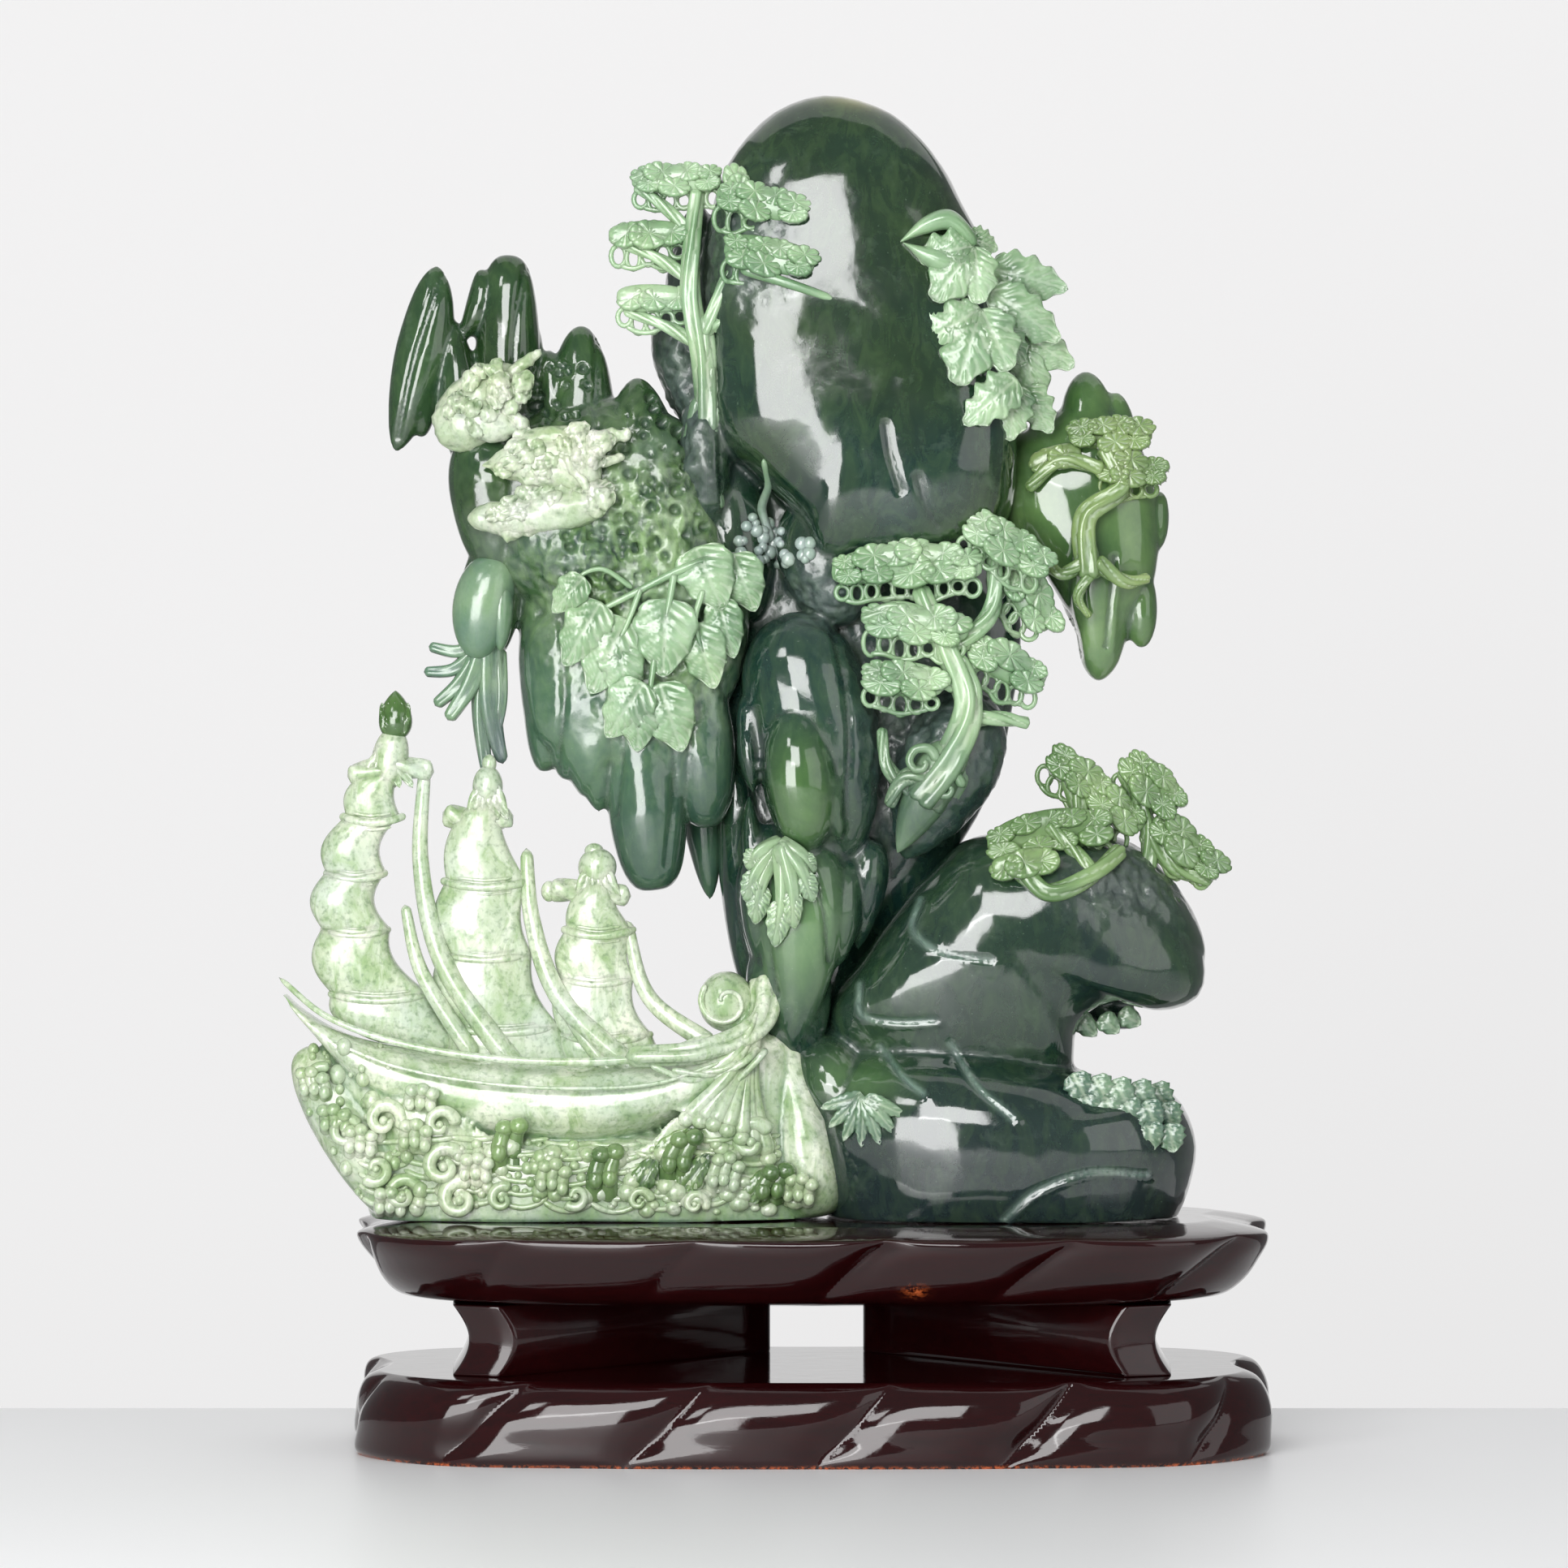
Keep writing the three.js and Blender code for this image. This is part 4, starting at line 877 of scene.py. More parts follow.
def pad(start, end, half, seed, fringe, wheel, bow=0.0):
    """A cloud of pine needles: wheels of needles that overlap like shingles, over a pierced fringe."""
    start, end = draped(start, end, -0.3, 3)
    run = end - start
    length = np.linalg.norm(run)
    side = unit(np.cross(OUT, run))
    side = -side if side[1] > 0 else side
    heading = math.atan2(run[1], run[0])
    forms = [lobe(start + 0.02 * run, end - 0.02 * run, half * 0.84, 0.9, (0.3, 0.3), -bow, 24, 18)]
    rows = 2 if half > 2.15 else 1
    squash = 0.6 if rows == 2 else 0.74
    wheel = 1.16 * wheel
    chance = scatter(260, 40 + seed)
    k = 0
    for row in range(rows):
        count = max(2, round(length / (1.42 * wheel))) - (row == 1 and length > 9)
        for n in range(count):
            t = (n + 0.5 + 0.3 * (chance[k] - 0.5)) / count
            belly = math.sin(math.pi * t)
            size = wheel * (0.84 + 0.36 * chance[k + 1]) * (0.8 + 0.34 * belly)
            aside = (row - (rows - 1) / 2) * 0.84 * half * (0.6 + 0.45 * belly) - 4 * bow * t * (1 - t)
            place = start + (0.04 + 0.92 * t) * run + side * (aside + 0.3 * (chance[k + 2] - 0.5))
            place = place + OUT * (0.7 + 0.3 * (n % 2) + 0.6 * row)
            lean = (0.3 - 0.6 * (n % 2), 0.35)
            turn = heading + 0.3 * (chance[k] - 0.5)
            forms.append(needles(place, turn, size, 8 + n % 3, lean, squash, chance[k + 2]))
            k += 3
    if fringe:
        count = max(3, round(length / 1.9))
        foot = []
        for n in range(count):
            t = (n + 0.5) / count
            tall = 0.9 + 0.8 * chance[k]
            drop = half * (0.62 + 0.2 * math.sin(math.pi * t)) + 0.75 * tall - 4 * bow * t * (1 - t)
            place = start + (0.04 + 0.92 * t) * run - OUT * (0.4 + 0.3 * chance[k + 1]) + side * drop
            forms.append(ring_of(place, 0.78 + 0.2 * chance[k + 1], tall, 0.5 * chance[k] - 0.2))
            foot.append(place + side * (0.8 * tall))
            k += 2
        forms.append(limb(foot, 0.36, 0.3, 8, 5 * count))
    return forms


def trunk(places, thick, thin, strands=4, twist=1.1):
    return limb(places, thick, thin, 24, 14 * len(places), twist, strands)


VINES = [
    ((-14.4, 83.2, 9), (-11, 75.4, 9.8), 3.7), ((-9.8, 82.4, 8), (-7, 75.2, 7.4), 2.9),
    ((-26, 76.4, 9.6), (-30.6, 68.4, 9.4), 3.0), ((-22.8, 74.4, 10), (-27.4, 65, 9.8), 3.7),
    ((-24, 72, 10), (-22.6, 63.8, 9.8), 2.9), ((-17.8, 76.8, 10.4), (-18.4, 67, 10.6), 3.9),
    ((-14.4, 73.8, 9.6), (-12, 65.6, 8.8), 3.0), ((-20.6, 66.4, 9.8), (-25.4, 59.6, 8.2), 3.1),
    ((-18.8, 66.4, 9.8), (-16, 57.8, 8.8), 3.4), ((-21, 65.6, 9.6), (-21.6, 57.8, 8.6), 2.8),
    ((-11.6, 76.8, 9), (-9.6, 69.4, 8.4), 2.4), ((-28, 79.4, 9.4), (-32, 75, 8.6), 2.1),
]
SPRAY = [
    ((22, 117.8, 7), (31.8, 115.2, 6), 2.8), ((22, 114.8, 7), (30.8, 108.6, 6), 2.9),
    ((25.2, 103.8, 7), (18.6, 98, 8), 2.7), ((25, 103.2, 6.6), (24.4, 96.2, 7), 2.6),
    ((26, 103.4, 6), (29.8, 97.4, 5.6), 2.4), ((22.6, 112, 8), (26.4, 105.6, 7), 2.1),
    ((19, 121.6, 9), (23, 119.8, 8.4), 1.7),
]
FANS = [
    ((20, 120, 9), (14.8, 113.2, 10), 4.2, 1.0), ((20.8, 112.4, 8), (17.8, 102.8, 9.8), 5.0, 0.8),
    ((25.4, 110, 6), (28.4, 100.4, 5.6), 3.6, 0.6),
]


def hearts(rows):
    """Where the stone shows deeper in the middle of each leaf."""
    return [((0.7 * r[0][0] + 0.3 * r[1][0], 0.7 * r[0][1] + 0.3 * r[1][1], 9), (1.3, 1.5, 7), HEART) for r in rows]


def spiral(middle, reach, shrink, turn, start, climb, count):
    """Places on a coil that tightens and climbs."""
    a, b, c = middle
    return [
        (a + (reach - shrink * k) * math.cos(turn * k + start), b + (reach - shrink * k) * math.sin(turn * k + start),
         c + climb * k)
        for k in range(count)
    ]


def vine_leaves():
    forms = []
    for line, thick in (
        ([(-10, 82.6, 9), (-16, 80.4, 10), (-22, 77.4, 10), (-26, 75.4, 10)], 0.6),
        ([(-17, 80, 10), (-17.4, 77.4, 10.6), (-18, 74, 11.2), (-18.2, 70, 11.2)], 0.5),
        ([(-19, 72, 10.4), (-19.6, 68, 10.6), (-20, 65, 10.4)], 0.5),
        ([(-13.4, 78, 10), (-14.4, 74, 10.4), (-13.4, 70, 10.2)], 0.42),
        ([(-21, 78.4, 10), (-22.6, 74, 10.6), (-24.6, 70, 10.6)], 0.42),
        ([(-22, 78, 10), (-26, 80.4, 10), (-28.6, 79.4, 9.6), (-28.4, 77.6, 9.6)], 0.36),
    ):
        forms.append(limb([(a, b, max(c, surface(a, b, c) + 0.3)) for a, b, c in line], thick, 0.6 * thick, 12, 40))
    for n, (heel, tip, half) in enumerate(VINES):
        forms.append(laid_leaf(heel, tip, half, 0.7 + 0.4 * (n % 3), curl=1.0, ends=(0.36, 0.75)))
    return forms


def spray_leaves():
    forms = [
        trunk([(13, 120.6, 10), (16.6, 123.4, 9.6), (20.4, 120, 8), (22, 111, 7)], 0.9, 0.8),
        trunk([(21.6, 114, 7), (24.4, 106, 5.6), (25, 99, 5)], 0.9, 0.6),
        ribbon([(10.6, 120.8), (13.6, 123.6), (17, 124.6), (21, 121.6)],
               [(11, 120.2), (14.2, 121.5), (16.8, 121.9), (19.6, 119)], 12, 1.7, (0.4, 0.4)),
        ribbon([(10.8, 120.8), (14.2, 120), (16.8, 119.6), (19.8, 119.8)],
               [(11.4, 120), (13.6, 117.8), (16.6, 116.4), (20.4, 117)], 12.2, 1.7, (0.4, 0.4)),
    ]
    shape = dict(curl=0.9, lobed=0.17, ends=(0.45, 0.6))
    for heel, tip, half, lift in FANS:
        forms += palmate(heel, tip, half, lift, **shape)
    for n, (heel, tip, half) in enumerate(SPRAY):
        forms.append(laid_leaf(heel, tip, half, 0.7 + 0.3 * (n % 2), curl=0.9, teeth=4, lobed=0.16, ends=(0.36, 0.7)))
    return forms


def upper_pine():
    forms = [
        trunk([(-12.6, 97, 6.4), (-13.4, 106, 7.6), (-15, 114, 7.8), (-14.8, 121, 7.2), (-14.2, 128, 6)], 1.6, 0.9,
              5),
        trunk([(-14.6, 92, 5.4), (-13.6, 98, 6.8), (-12.6, 105, 7.6), (-13.6, 112, 7.8)], 0.6, 1.1),
        trunk([(-11.2, 88, 5), (-12.2, 94, 6.4), (-12, 100, 7.2), (-12.6, 106, 7.6)], 0.5, 1.1),
        limb([(-17.4, 90, 3.4), (-15.6, 96, 5.2), (-14, 102, 6.8)], 0.4, 0.9),
        limb([(-13, 84, 4.4), (-13.2, 90, 5.6), (-13, 97, 6.8)], 0.4, 1.0),
        trunk([(-13.4, 109, 8), (-9.4, 118, 10), (-1, 124.4, 11.6)], 0.95, 0.55),
        trunk([(-12.6, 110, 8), (-5, 115, 11), (2, 113, 12)], 0.95, 0.55),
        trunk([(-14.6, 116, 7), (-19, 119, 6.6), (-24, 121, 6.4)], 0.9, 0.55),
        trunk([(-13.6, 108, 6.6), (-18, 110.6, 6.4), (-23.4, 112.6, 6)], 0.9, 0.55),
        trunk([(-14.6, 122, 6.6), (-19, 126, 6.4), (-22, 128, 6.2)], 0.85, 0.55),
        trunk([(-11.6, 101, 7), (-12.4, 94, 6), (-15, 88, 4)], 1.0, 0.5),
        limb([(-9, 117.4, 12), (-3.6, 115.6, 12.8), (2.8, 113.4, 12.8)], 0.8, 0.5),
    ]
    for n, (a, b, half, fringe) in enumerate([
        ((-22.6, 128.8, 6), (-11, 129, 6.4), 2.2, True), ((-25.4, 121.8, 6.4), (-15.4, 122.2, 6.4), 2.1, True),
        ((-24.4, 114.2, 6.4), (-15, 114, 6.4), 2.1, True), ((-12, 126.6, 10), (-0.4, 124.4, 11), 2.4, True),
        ((-11, 120.2, 10.4), (0.6, 117.6, 12), 2.6, True), ((-9.6, 129.4, 8.6), (-8.4, 126.6, 9), 1.5, False),
    ]):
        forms += pad(a, b, half, n, fringe, wheel=1.75)
    return forms


def right_pine():
    forms = [
        trunk([(34.6, 79, 5.6), (34, 87, 6), (38.4, 91, 5.6), (36, 96, 5)], 1.6, 1.0, 5),
        trunk([(36.4, 93, 5.4), (31, 94, 5.4), (26.6, 90.4, 4.6)], 1.0, 0.7),
        trunk([(34.6, 82, 6), (31, 80, 6), (28.6, 82, 5)], 1.0, 0.6),
        trunk([(35, 81.6, 6.4), (39, 79, 5.6), (42, 79.6, 4)], 1.1, 0.6),
        trunk([(34.4, 80, 6.4), (33, 77, 6), (34.6, 74.6, 5)], 0.8, 0.4),
    ]
    for n, (a, b, half) in enumerate([
        ((31.6, 97.4, 4.4), (42.6, 97.6, 3.6), 2.4), ((35.8, 93.6, 5), (43.6, 92.6, 4), 2.2),
        ((27, 93.6, 4), (33.6, 95.4, 4.4), 1.8),
    ]):
        forms += pad(a, b, half, 10 + n, n == 1, wheel=1.7)
    return forms


def middle_pine():
    forms = [
        trunk([(13.4, 51, 8), (17.2, 57, 9), (19.2, 63.6, 9.4), (16.4, 71, 9.8), (13, 78.6, 9)], 2.4, 1.1, 5, 0.9),
        limb([(15.6, 54, 8.4), (18.6, 59, 9.6), (20.4, 65, 9.6), (18.4, 70, 9.6)], 0.9, 0.5, 14, 40),
        lobe((17.4, 59, 8.4), (10.6, 45.4, 6.4), 3.2, 2.6, (0.4, 0.8)),
        lobe((18.6, 58, 7), (15.6, 48.6, 6), 2.4, 2.2, (0.4, 0.8)),
        trunk([(17, 70, 9), (22, 75, 8.6), (22.6, 83, 7.6)], 1.2, 0.9),
        trunk([(18, 66, 9.4), (12, 68, 10), (8, 68, 10)], 1.1, 0.8),
        trunk([(16, 74, 9.6), (10, 75.6, 10.4), (6, 74, 10.4)], 1.0, 0.7),
        trunk([(19, 62, 8.6), (23.4, 62, 8), (27, 61.4, 7)], 1.1, 0.7),
        trunk([(18.6, 68, 8.6), (23, 69.6, 8), (27.4, 68, 7)], 1.0, 0.7),
        trunk([(13.4, 52, 8), (9.4, 56, 8), (8.6, 61, 7.6)], 1.1, 0.6),
        trunk([(15.4, 55, 9), (11.4, 54.6, 9), (9.4, 51, 8)], 1.4, 0.7),
    ]
    for middle in ((13.4, 56.6, 10), (16.6, 53.4, 9.4)):
        forms.append(limb(spiral(middle, 2.2, 0.26, 1, 0, 0.1, 8), 0.7, 0.3, rings=44))
    for n, (a, b, half, bow) in enumerate([
        ((2, 80, 9), (21.4, 80.8, 9.4), 2.9, 0.9), ((6.2, 74.4, 10.4), (19.6, 72.8, 10.4), 2.5, 0),
        ((6.2, 67.4, 10.4), (16.4, 66, 10.4), 2.4, 0), ((19, 86.4, 7), (29.4, 80.6, 6.4), 2.8, 0),
        ((24.6, 80.6, 6.4), (29.6, 73, 6), 2.5, 0), ((19.4, 71, 8.6), (29, 66.4, 7.6), 2.6, 0),
    ]):
        forms += pad(a, b, half, 20 + n, True, wheel=2.0, bow=bow)
    return forms


def boulder_pine():
    forms = [
        trunk([(42, 41, 2), (41.8, 49, 2.6), (38.4, 56, 3)], 1.2, 0.8),
        trunk([(30.6, 57, 3), (33, 52, 3.4), (33.6, 44, 4)], 1.3, 1.0),
        trunk([(25, 44, 10), (29, 40.6, 11), (34.4, 42.6, 10), (38.6, 46, 6)], 1.3, 1.0),
        trunk([(41.8, 48, 2.4), (45.6, 43.4, 2.6), (50, 41.8, 2.6)], 1.2, 0.8),
        trunk([(35, 43, 9), (32, 46, 8), (29, 49, 7.6)], 1.0, 0.7),
    ]
    for n, (a, b, half, bow) in enumerate([
        ((29.6, 58, 3), (41.4, 48.2, 3.4), 2.6, 0), ((39.4, 57, 3), (45.8, 50.8, 3), 2.8, 0),
        ((42.4, 49.8, 3), (51, 43, 2.6), 2.2, 0), ((21.4, 46, 7.4), (37.4, 48.6, 6.4), 3.2, 0.8),
        ((22, 43.4, 11), (30, 45, 10), 2.0, 0),
    ]):
        forms += pad(a, b, half, 30 + n, n != 4, wheel=1.9, bow=bow)
    return forms


def birds():
    """Three carved cranes: one upright, one with an open wing, one stretched out below."""
    moved = lambda *places: [2.4 * OUT + p for p in places]
    forms = [
        lobe(*moved((-45.6, 96, 5), (-37, 105.6, 4)), 4.2, 2.6, (0.4, 0.55)),
        lobe(*moved((-43.6, 99, 6), (-36.2, 97.6, 6)), 2.2, 1.8, (0.5, 0.6)),
        limb(moved((-39, 103, 5), (-36, 105.6, 5), (-33.6, 107.8, 4.4)), 0.9, 0.5, 12, 30),
        limb(moved((-39.6, 101.6, 5.6), (-36, 103.4, 5.4), (-34.4, 104, 5)), 0.7, 0.5, 12, 30),
        limb(moved((-38.6, 100.6, 6), (-35.8, 98.4, 6.2), (-35.4, 96, 6)), 0.9, 0.7, 12, 30),
        lobe(*moved((-40.6, 93.2, 7.6), (-26.2, 94.2, 7.6)), 4.0, 2.4, (0.75, 0.22)),
        lobe(*moved((-38, 95.4, 8), (-28, 96.6, 8)), 1.9, 1.6, (0.6, 0.4)),
        limb(moved((-28.6, 96.4, 8), (-25, 96.8, 8), (-22.4, 97.2, 7.6)), 1.0, 0.7, 12, 30),
        limb(moved((-28, 93.4, 8), (-25.4, 93.8, 8), (-23, 94.4, 7.6)), 0.8, 0.5, 12, 30),
        limb(moved((-31.6, 95.4, 9), (-29.4, 92.6, 9.4), (-27.4, 90, 9)), 0.8, 0.6, 12, 30),
        lobe(*moved((-42.4, 86.6, 7), (-25, 88.8, 7.6)), 2.7, 2.4, (0.5, 0.4), 0.5),
        ribbon([(-41, 88), (-37, 87.4), (-32, 88), (-26, 88)],
               [(-40.4, 84.6), (-36.6, 83.2), (-32, 85.4), (-26.6, 86)], 9.4, 1.6, (0.4, 0.4), 4, 0.2, 0.7),
        ribbon([(-36, 91.4), (-32, 90.6), (-28, 90.2)], [(-37.4, 88.6), (-32, 88), (-27.4, 88.4)], 9.8, 1.5,
               (0.4, 0.4), 3, 0.2, 0.5),
    ]
    feathers = [
        ((-44.6, 97.6), (-37.4, 104), 9, 3.2), ((-39.4, 93.4), (-27.4, 95), 12, 3.0),
        ((-40.6, 87), (-27, 88.8), 11, 1.9),
    ]
    chance = scatter(200, 61)
    k = 0
    for a, b, count, half in feathers:
        a, b = np.array([*a, 0.0]), np.array([*b, 0.0])
        run = b - a
        aside = unit(np.cross(run, OUT))
        for n in range(count * 2):
            t, s = chance[k], 2 * chance[k + 1] - 1
            spot = a + t * run + s * aside * half * (0.4 + 0.5 * math.sin(math.pi * t))
            level = 10.3 + 1.7 * math.sqrt(max(0, 1 - s * s)) - (1.6 if a[1] > 96 else 0) - (0.5 if a[1] < 90 else 0)
            heel = np.array([spot[0], spot[1], level])
            way = 0.26 * run * (0.7 + 0.6 * chance[k + 2]) + aside * s * 1.2
            forms.append(leaf(heel, heel + way - 0.2 * OUT, 0.9 + 0.5 * chance[k], 2, 0.7, 0.9, 10, 9, 0.05,
                              (0.4, 0.5), 5))
            k += 3
            k %= 190
    return forms


def flowers():
    forms = []
    forms.append(lobe((-39.2, 82.4, 5.4), (-41.8, 69.4, 5.8), 3.7, 3.2, (0.42, 0.5), 0.4, 30, 30))
    forms.append(lobe((-38.4, 80, 6), (-38.6, 70.4, 6), 1.5, 2.2, (0.5, 0.6)))
    for line, thick, thin in [
        ([(-40, 72, 4), (-44, 70.4, 4.6), (-47.6, 71, 4.6)], 1.2, 0.6),
        ([(-40.4, 72, 4), (-44.4, 68.2, 4.6), (-48.2, 67.8, 4.6)], 1.2, 0.6),
        ([(-40.4, 72.4, 4.4), (-43.6, 66.6, 5), (-46.8, 63.6, 4.8)], 1.4, 0.7),
        ([(-40.4, 73, 4.6), (-42.6, 66, 5), (-45.2, 61.8, 5)], 1.7, 0.8),
        ([(-40.4, 73, 4), (-40, 63, 4), (-38.4, 56.4, 3.6)], 2.2, 0.8),
        ([(-41, 70, 4), (-41.2, 62, 4), (-40, 53, 3.6)], 1.2, 0.8),
        ([(-39, 71, 4), (-38.6, 64, 4.4), (-39.6, 58, 4)], 1.0, 0.5),
    ]:
        forms.append(limb(line, thick, thin, 20, 36, 0.3, 4))
    for n, (tip, half) in enumerate([
        ((-8, 43.4, 10.4), 1.5), ((-8.2, 39.4, 10.4), 1.4), ((-7, 36.6, 9.8), 1.5), ((-4.6, 33.8, 9.2), 1.6),
        ((-2.2, 36, 9.4), 1.2), ((0.2, 39.4, 9.6), 1.4), ((0.4, 43, 9.6), 1.2),
    ]):
        heel, end = draped((-3.6 - 0.1 * n, 46.8, 9.8), tip, 0.5)
        run = end - heel
        bend = heel + 0.55 * run + unit(np.cross(run, OUT)) * (0.8 if n < 3 else -0.6) + 0.8 * OUT
        forms.append(limb([heel, bend, end], 1.1, 0.5, 16, 30, 0.2, 4))
        forms.append(leaf(bend, end + OUT * 0.6, half, 4))
    chance = scatter(120, 90).reshape(-1, 3)
    for n, (a, b, c) in enumerate(chance[:80]):
        across, up = -9.6 + 9.6 * a, 81 + 6.4 * b
        if up > 88.6 - 0.4 * (across + 10):
            continue
        forms.append(ovoid(np.array(laid(across, up, 0.2)), 0.55 + 0.4 * c, 0.55 + 0.4 * c, 0.75, around=14, rings=9))
    forms.append(limb([laid(-6, 94, 0.3), laid(-5.4, 91, 0.5), laid(-6.2, 88, 0.5), laid(-5, 84, 0.6)], 0.4, 0.7))
    return forms


def boulder_leaves():
    forms = []
    rows = [(32, 18.4, 5), (33.4, 16.2, 5), (36.4, 13.4, 4)]
    for n, (across, up, count) in enumerate(rows):
        for k in range(count):
            a = across + 2.5 * k
            b = up - 0.4 * k
            tip = (a + 2.3 - 1.0 * n + 0.3 * (k % 2), b - 4.3 + 0.2 * k, 6)
            forms.append(laid_leaf((a, b, 6), tip, 1.8, 0.5 + 0.4 * n + 0.3 * (k % 2), teeth=4, rows=16, across=11,
                                   lobed=0.13))
    for k in range(7):
        theta = math.radians(194 + 24 * k)
        heel = np.array([6.4, 15.6, 9.0])
        tip = heel + np.array([5.6 * math.cos(theta), 6.4 * math.sin(theta), 0])
        forms.append(laid_leaf(heel, tip, 1.0, 0.35, teeth=6, rows=16, across=9))
    for a, b in (((33, 25, 1), (35.6, 22.4, 1)), ((36, 25, 1), (38.4, 22.8, 1)), ((38.4, 25.4, 0), (41.2, 23.8, 0))):
        forms.append(leaf(a, b, 1.4, 3, rows=12, across=9))
    return forms


def panelled(first, second, panels, belly, bite):
    """A sail: full panels between battens, each edge scalloped."""
    out, deep = 6, 2.4
    count = panels * 18
    forms = [ribbon(first, second, out, deep, (0.22, 0.3), panels, belly, bite, count, 36, 0.75)]
    a, b = flat_line(first, count), flat_line(second, count)
    for n in range(1, panels):
        left, right = a[n * 18], b[n * 18]
        across = right - left
        bar = []
        for t in (0.0, 0.2, 0.5, 0.8, 1.0):
            swell = 4 * t * (1 - t)
            bar.append(left + t * across + np.array([0, -0.9 * swell, out + deep * 0.92 * swell**0.5]))
        forms.append(limb(bar, 0.55, 0.5, 12, 40))
        for k, thick in ((0.9, 0.2), (-0.85, 0.2)):
            forms.append(limb([p + np.array([0, k, 0.08]) for p in bar[1:-1]], thick, thick, 8, 30))
    return forms


def sails():
    tall = [(-58, 22), (-60, 28), (-60.8, 36), (-60.4, 43), (-58.4, 50), (-56.6, 56.4)]
    tall_lee = [(-38, 20), (-47, 28), (-52.2, 36), (-52.6, 43), (-50.4, 50), (-47.6, 56.4)]
    mid = [(-44.6, 17), (-45.6, 24), (-46.2, 33), (-46, 42), (-45, 51.6)]
    mid_lee = [(-24, 17), (-31, 24), (-34.6, 33), (-34.8, 42), (-36.6, 51.6)]
    low = [(-31, 17), (-31.4, 23), (-31.4, 30), (-31, 36), (-29.6, 42)]
    low_lee = [(-12, 17), (-19.6, 23), (-22, 30), (-21.8, 36), (-23.4, 42)]
    forms = [
        *panelled(tall, tall_lee, 5, 1.5, 1.4), *panelled(mid, mid_lee, 4, 1.1, 1.0),
        *panelled(low, low_lee, 4, 0.8, 0.8),
    ]
    for line in (
        [(-45.8, 50.4, 5.6), (-41, 49, 5.6), (-37, 50, 5.6)], [(-32.6, 41, 5.6), (-28, 40.4, 5.6), (-22.4, 40, 5.6)],
        [(-57.6, 54.8, 6), (-52, 56, 6.4), (-46.8, 55.4, 6)],
    ):
        forms.append(limb(line, 1.5, 1.3, 16, 30, 1.0, 3))
    ropes = [
        ([(-48, 56, 6), (-48.4, 44, 7), (-45.6, 32, 8), (-35.6, 17.4, 8.4)], 1.0, 1.4),
        ([(-50.4, 39, 7), (-48.4, 31, 8), (-41.6, 20, 8.4)], 0.8, 1.1),
        ([(-35.4, 46, 6), (-34.6, 37, 7), (-31.2, 27.6, 8), (-20.6, 17.4, 8.4)], 1.0, 1.4),
        ([(-33.4, 33, 7), (-29.8, 25, 8), (-24, 17.4, 8.4)], 0.7, 1.0),
        ([(-23, 37, 6), (-20.2, 27.6, 7), (-12.4, 21.6, 8.4)], 0.9, 1.2),
    ]
    for line, thick, thin in ropes:
        forms.append(limb(line, thick * 0.8, thin * 1.1, 14, 50))
    for place, half, tall_by in (((-52.6, 55.6, 6), 3.0, 1.4), ((-40.2, 51.4, 5.6), 2.4, 1.2),
                                 ((-26.6, 41.4, 5.6), 2.6, 1.2)):
        for n in range(5):
            a = -1.2 + 0.6 * n
            heel = np.array(place) + np.array([0, 3.2, 0.6])
            forms.append(leaf(heel, np.array(place) + np.array([a * half * 0.9, -tall_by - 0.8, 1.6]), 1.0, 2,
                              rows=12, across=9))
    forms += [
        lobe((-53, 53, 6), (-51.6, 61, 6), 2.3, 2.0), ovoid((-40.2, 53.6, 5.6), 1.9, 2.6, 1.9),
        ovoid((-40, 56.4, 5.6), 0.9, 1.2, 0.9), ovoid((-26.6, 43.6, 5.6), 2.4, 2.4, 2.0),
        ovoid((-27, 45.6, 5.6), 1.2, 1.0, 1.0), ovoid((-32.6, 40.6, 5.4), 1.0, 1.3, 1.0),
    ]
    return forms


def finial():
    place = np.array([-51.6, 62.4, 6.0])
    forms = [ovoid(place, 2.1, 3.1, 2.0, ends=(0.5, 0.8)), ovoid(place - (0, 3.2, 0), 1.4, 0.8, 1.3)]
    for n in range(5):
        a = -1.1 + 0.55 * n
        forms.append(leaf(place + (0.5 * a, -2.4, 1.2), place + (1.5 * a, 1.6, 1.5 - 0.2 * abs(a)), 0.9, 2, rows=12,
                          across=9))
    return forms


def hull():
    rim = [(-66, 30, 7), (-60, 25.4, 10.4), (-52, 22.4, 12), (-40.8, 20.4, 13), (-30, 19.8, 13), (-20, 20.4, 12.4),
           (-12, 23, 11.4)]
    lower = [(u + 1.0, v - 3.2, w + 1.2) for u, v, w in rim[1:]]
    forms = [
        limb(rim, 0.35, 0.6, 14, 70), limb(lower, 0.22, 0.26, 12, 60),
        limb([(-5.6, 30, 6), (-6.4, 24.6, 9), (-13, 21.2, 12.4), (-23, 20.4, 13)], 2.0, 1.2, 22, 50, 0.4, 4),
    ]
    for n in range(5):
        t = n / 4
        forms.append(limb([(-20 + 2.6 * n, 19.4 - 0.6 * n, 13.2 - 0.2 * n), (-14 + 2.0 * n, 17.6 + 0.8 * n, 12.8),
                           (-8.4 + 0.6 * n, 22.6 - 1.6 * t, 10.4)], 0.4, 0.5, 10, 30))
    forms.append(limb(spiral((-10.6, 27, 8.2), 3.4, 0.28, 0.7, 2.4, 0.16, 11), 0.4, 0.26, 12, 70))
    return forms


